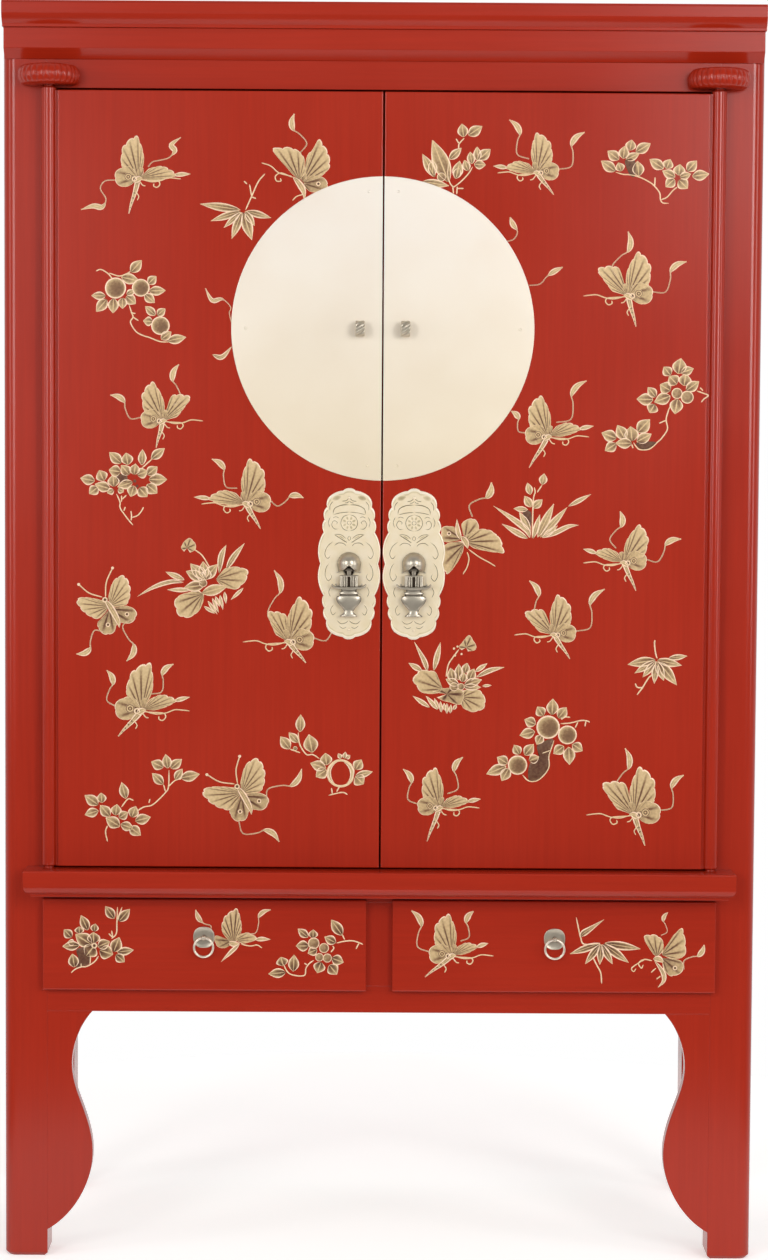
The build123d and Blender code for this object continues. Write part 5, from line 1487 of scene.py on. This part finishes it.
# ------------------------------------------------------------------ vase pulls
# Cast in one piece and filed: a slotted neck hangs from the pin in the boss, over a boat-shaped
# rim with curled ends, a round-shouldered vase and its flared foot.
vase_profile = np.array([[-36.8, 12.5, 3.2], [-38.6, 11.4, 2.9], [-40.6, 11.4, 2.9], [-41.8, 14.0, 3.5],
                         [-44.2, 14.4, 3.7], [-45.2, 13.2, 2.8], [-46.4, 13.6, 2.9], [-47.8, 17.4, 3.8],
                         [-51.4, 18.8, 4.2], [-56.0, 17.6, 4.2], [-61.0, 13.9, 3.9], [-65.0, 9.9, 3.5],
                         [-67.6, 8.2, 2.9], [-70.0, 7.2, 2.9], [-73.2, 8.6, 3.1], [-75.8, 12.0, 3.5],
                         [-77.2, 13.0, 3.5], [-78.0, 12.4, 3.0]])
# Neck bars: x, half width, half depth, and grime and painted shade.
neck_bars = [(-11.3, 2.7, 2.5, 0.0), (-6.6, 2.0, 2.2, 0.1), (-3.1, 1.3, 2.4, 0.0), (3.1, 1.3, 2.4, 0.0),
             (6.6, 2.0, 2.2, 0.1), (11.3, 2.7, 2.5, 0.0)]
neck_top, neck_foot = -17.0, -34.0
half_boat = [(-25.2, -29.6), (-24.2, -32.0), (-21.0, -34.2), (-15, -35.3), (0, -35.8)]
boat_hook = [(13, -32.2), (17, -32.0), (19.6, -30.6), (18.6, -29.2)]


def section(path, half_x, half_y, steps=20):
    """An ellipse carried along a path of points: flat across the path and deep front to back."""
    turn = np.linspace(0, 2 * np.pi, steps, endpoint=False)[None, :]
    half_x = np.broadcast_to(half_x, len(path))[:, None]
    half_y = np.broadcast_to(half_y, len(path))[:, None]
    across = -half_x * np.sign(np.cos(turn)) * np.abs(np.cos(turn)) ** 0.8
    flat = path[:, None, :] + sideways(path)[:, None, :] * across[..., None]
    return np.stack([flat[..., 0], half_y * np.sin(turn), flat[..., 1]], -1)


def vase(side):
    """Ellipses stacked down the vase's profile, with bars, rim and eye as carried sections."""
    middle, pull_middle = (box_mm(side + node)[2] for node in ("_escutcheon", "_vase_pull"))
    at = (middle[0], pull_middle[1], middle[2])
    profile = smooth(vase_profile, 5)
    level = np.stack([0 * profile[:, 0], profile[:, 0]], 1)
    # Grime and painted shade in the creases at the waist and under the collar.
    waist_grime_and_shade = np.clip(1 - np.abs(profile[:, 0] + 45.8) / 1.2, 0, 0.9)
    collar_grime_and_shade = np.clip(1 - np.abs(profile[:, 0] + 39.6) / 1.4, 0, 0.6)
    forms = [(section(level, profile[:, 1], profile[:, 2], 40), waist_grime_and_shade + collar_grime_and_shade)]

    def add(path, half_x, half_y, grime_and_shade=0.0):
        forms.append((section(path, half_x, half_y), np.full(len(path), grime_and_shade)))

    for x, half_x, half_y, grime_and_shade in neck_bars:
        add(np.linspace((x, neck_top), (x, neck_foot), 12), half_x, half_y, grime_and_shade)
    # A dark web behind the bars: painted shade in the slots of the neck.
    add(np.linspace((0, -17.2), (0, neck_foot), 12), 13.6, 1.2, 0.95)
    add(np.linspace((-13.6, -17.6), (13.6, -17.6), 18), 1.3, 2.4)
    # The shank and the pin under the hood, darkened with painted shade.
    add(np.linspace((0, -9.0), (0, -17.6), 8), 3.4, 1.8, 0.5)
    add(np.linspace((-5.4, -8.0), (5.4, -8.0), 10), 2.6, 2.6, 0.7)
    boat = smooth(there_and_back(half_boat), 6)
    thick = 0.8 + 1.5 * np.sin(np.linspace(0, np.pi, len(boat))) ** 0.6
    add(boat, thick, np.minimum(thick * 1.9, 3.6), 0.1)
    for hand in (-1, 1):
        add(smooth(np.array(boat_hook) * (hand, 1), 5), 0.9, 1.5)
    sheets, tones = [], []
    for form, grime_and_shade in forms:
        sheets.append(sheet(capped(form) + at, wrap_columns=True))
        turn = np.linspace(0, 2 * np.pi, form.shape[1], endpoint=False)[None, :]
        # Painted shade on each section's sides, where it turns away.
        side_shade = np.clip(3.4 * (np.abs(np.cos(turn)) - 0.8), 0, 0.65)
        ends = np.concatenate([grime_and_shade[:1], grime_and_shade, grime_and_shade[-1:]])[:, None]
        tones.append(np.clip(ends + side_shade, 0, 1).ravel())
    return sheets, tones


for side in ("left", "right"):
    sheets, tones = vase(side)
    piece(side + "_cast_vase", sheets, paktong, side + "_pull",
          [side + "_vase_pull"], tones=tones)
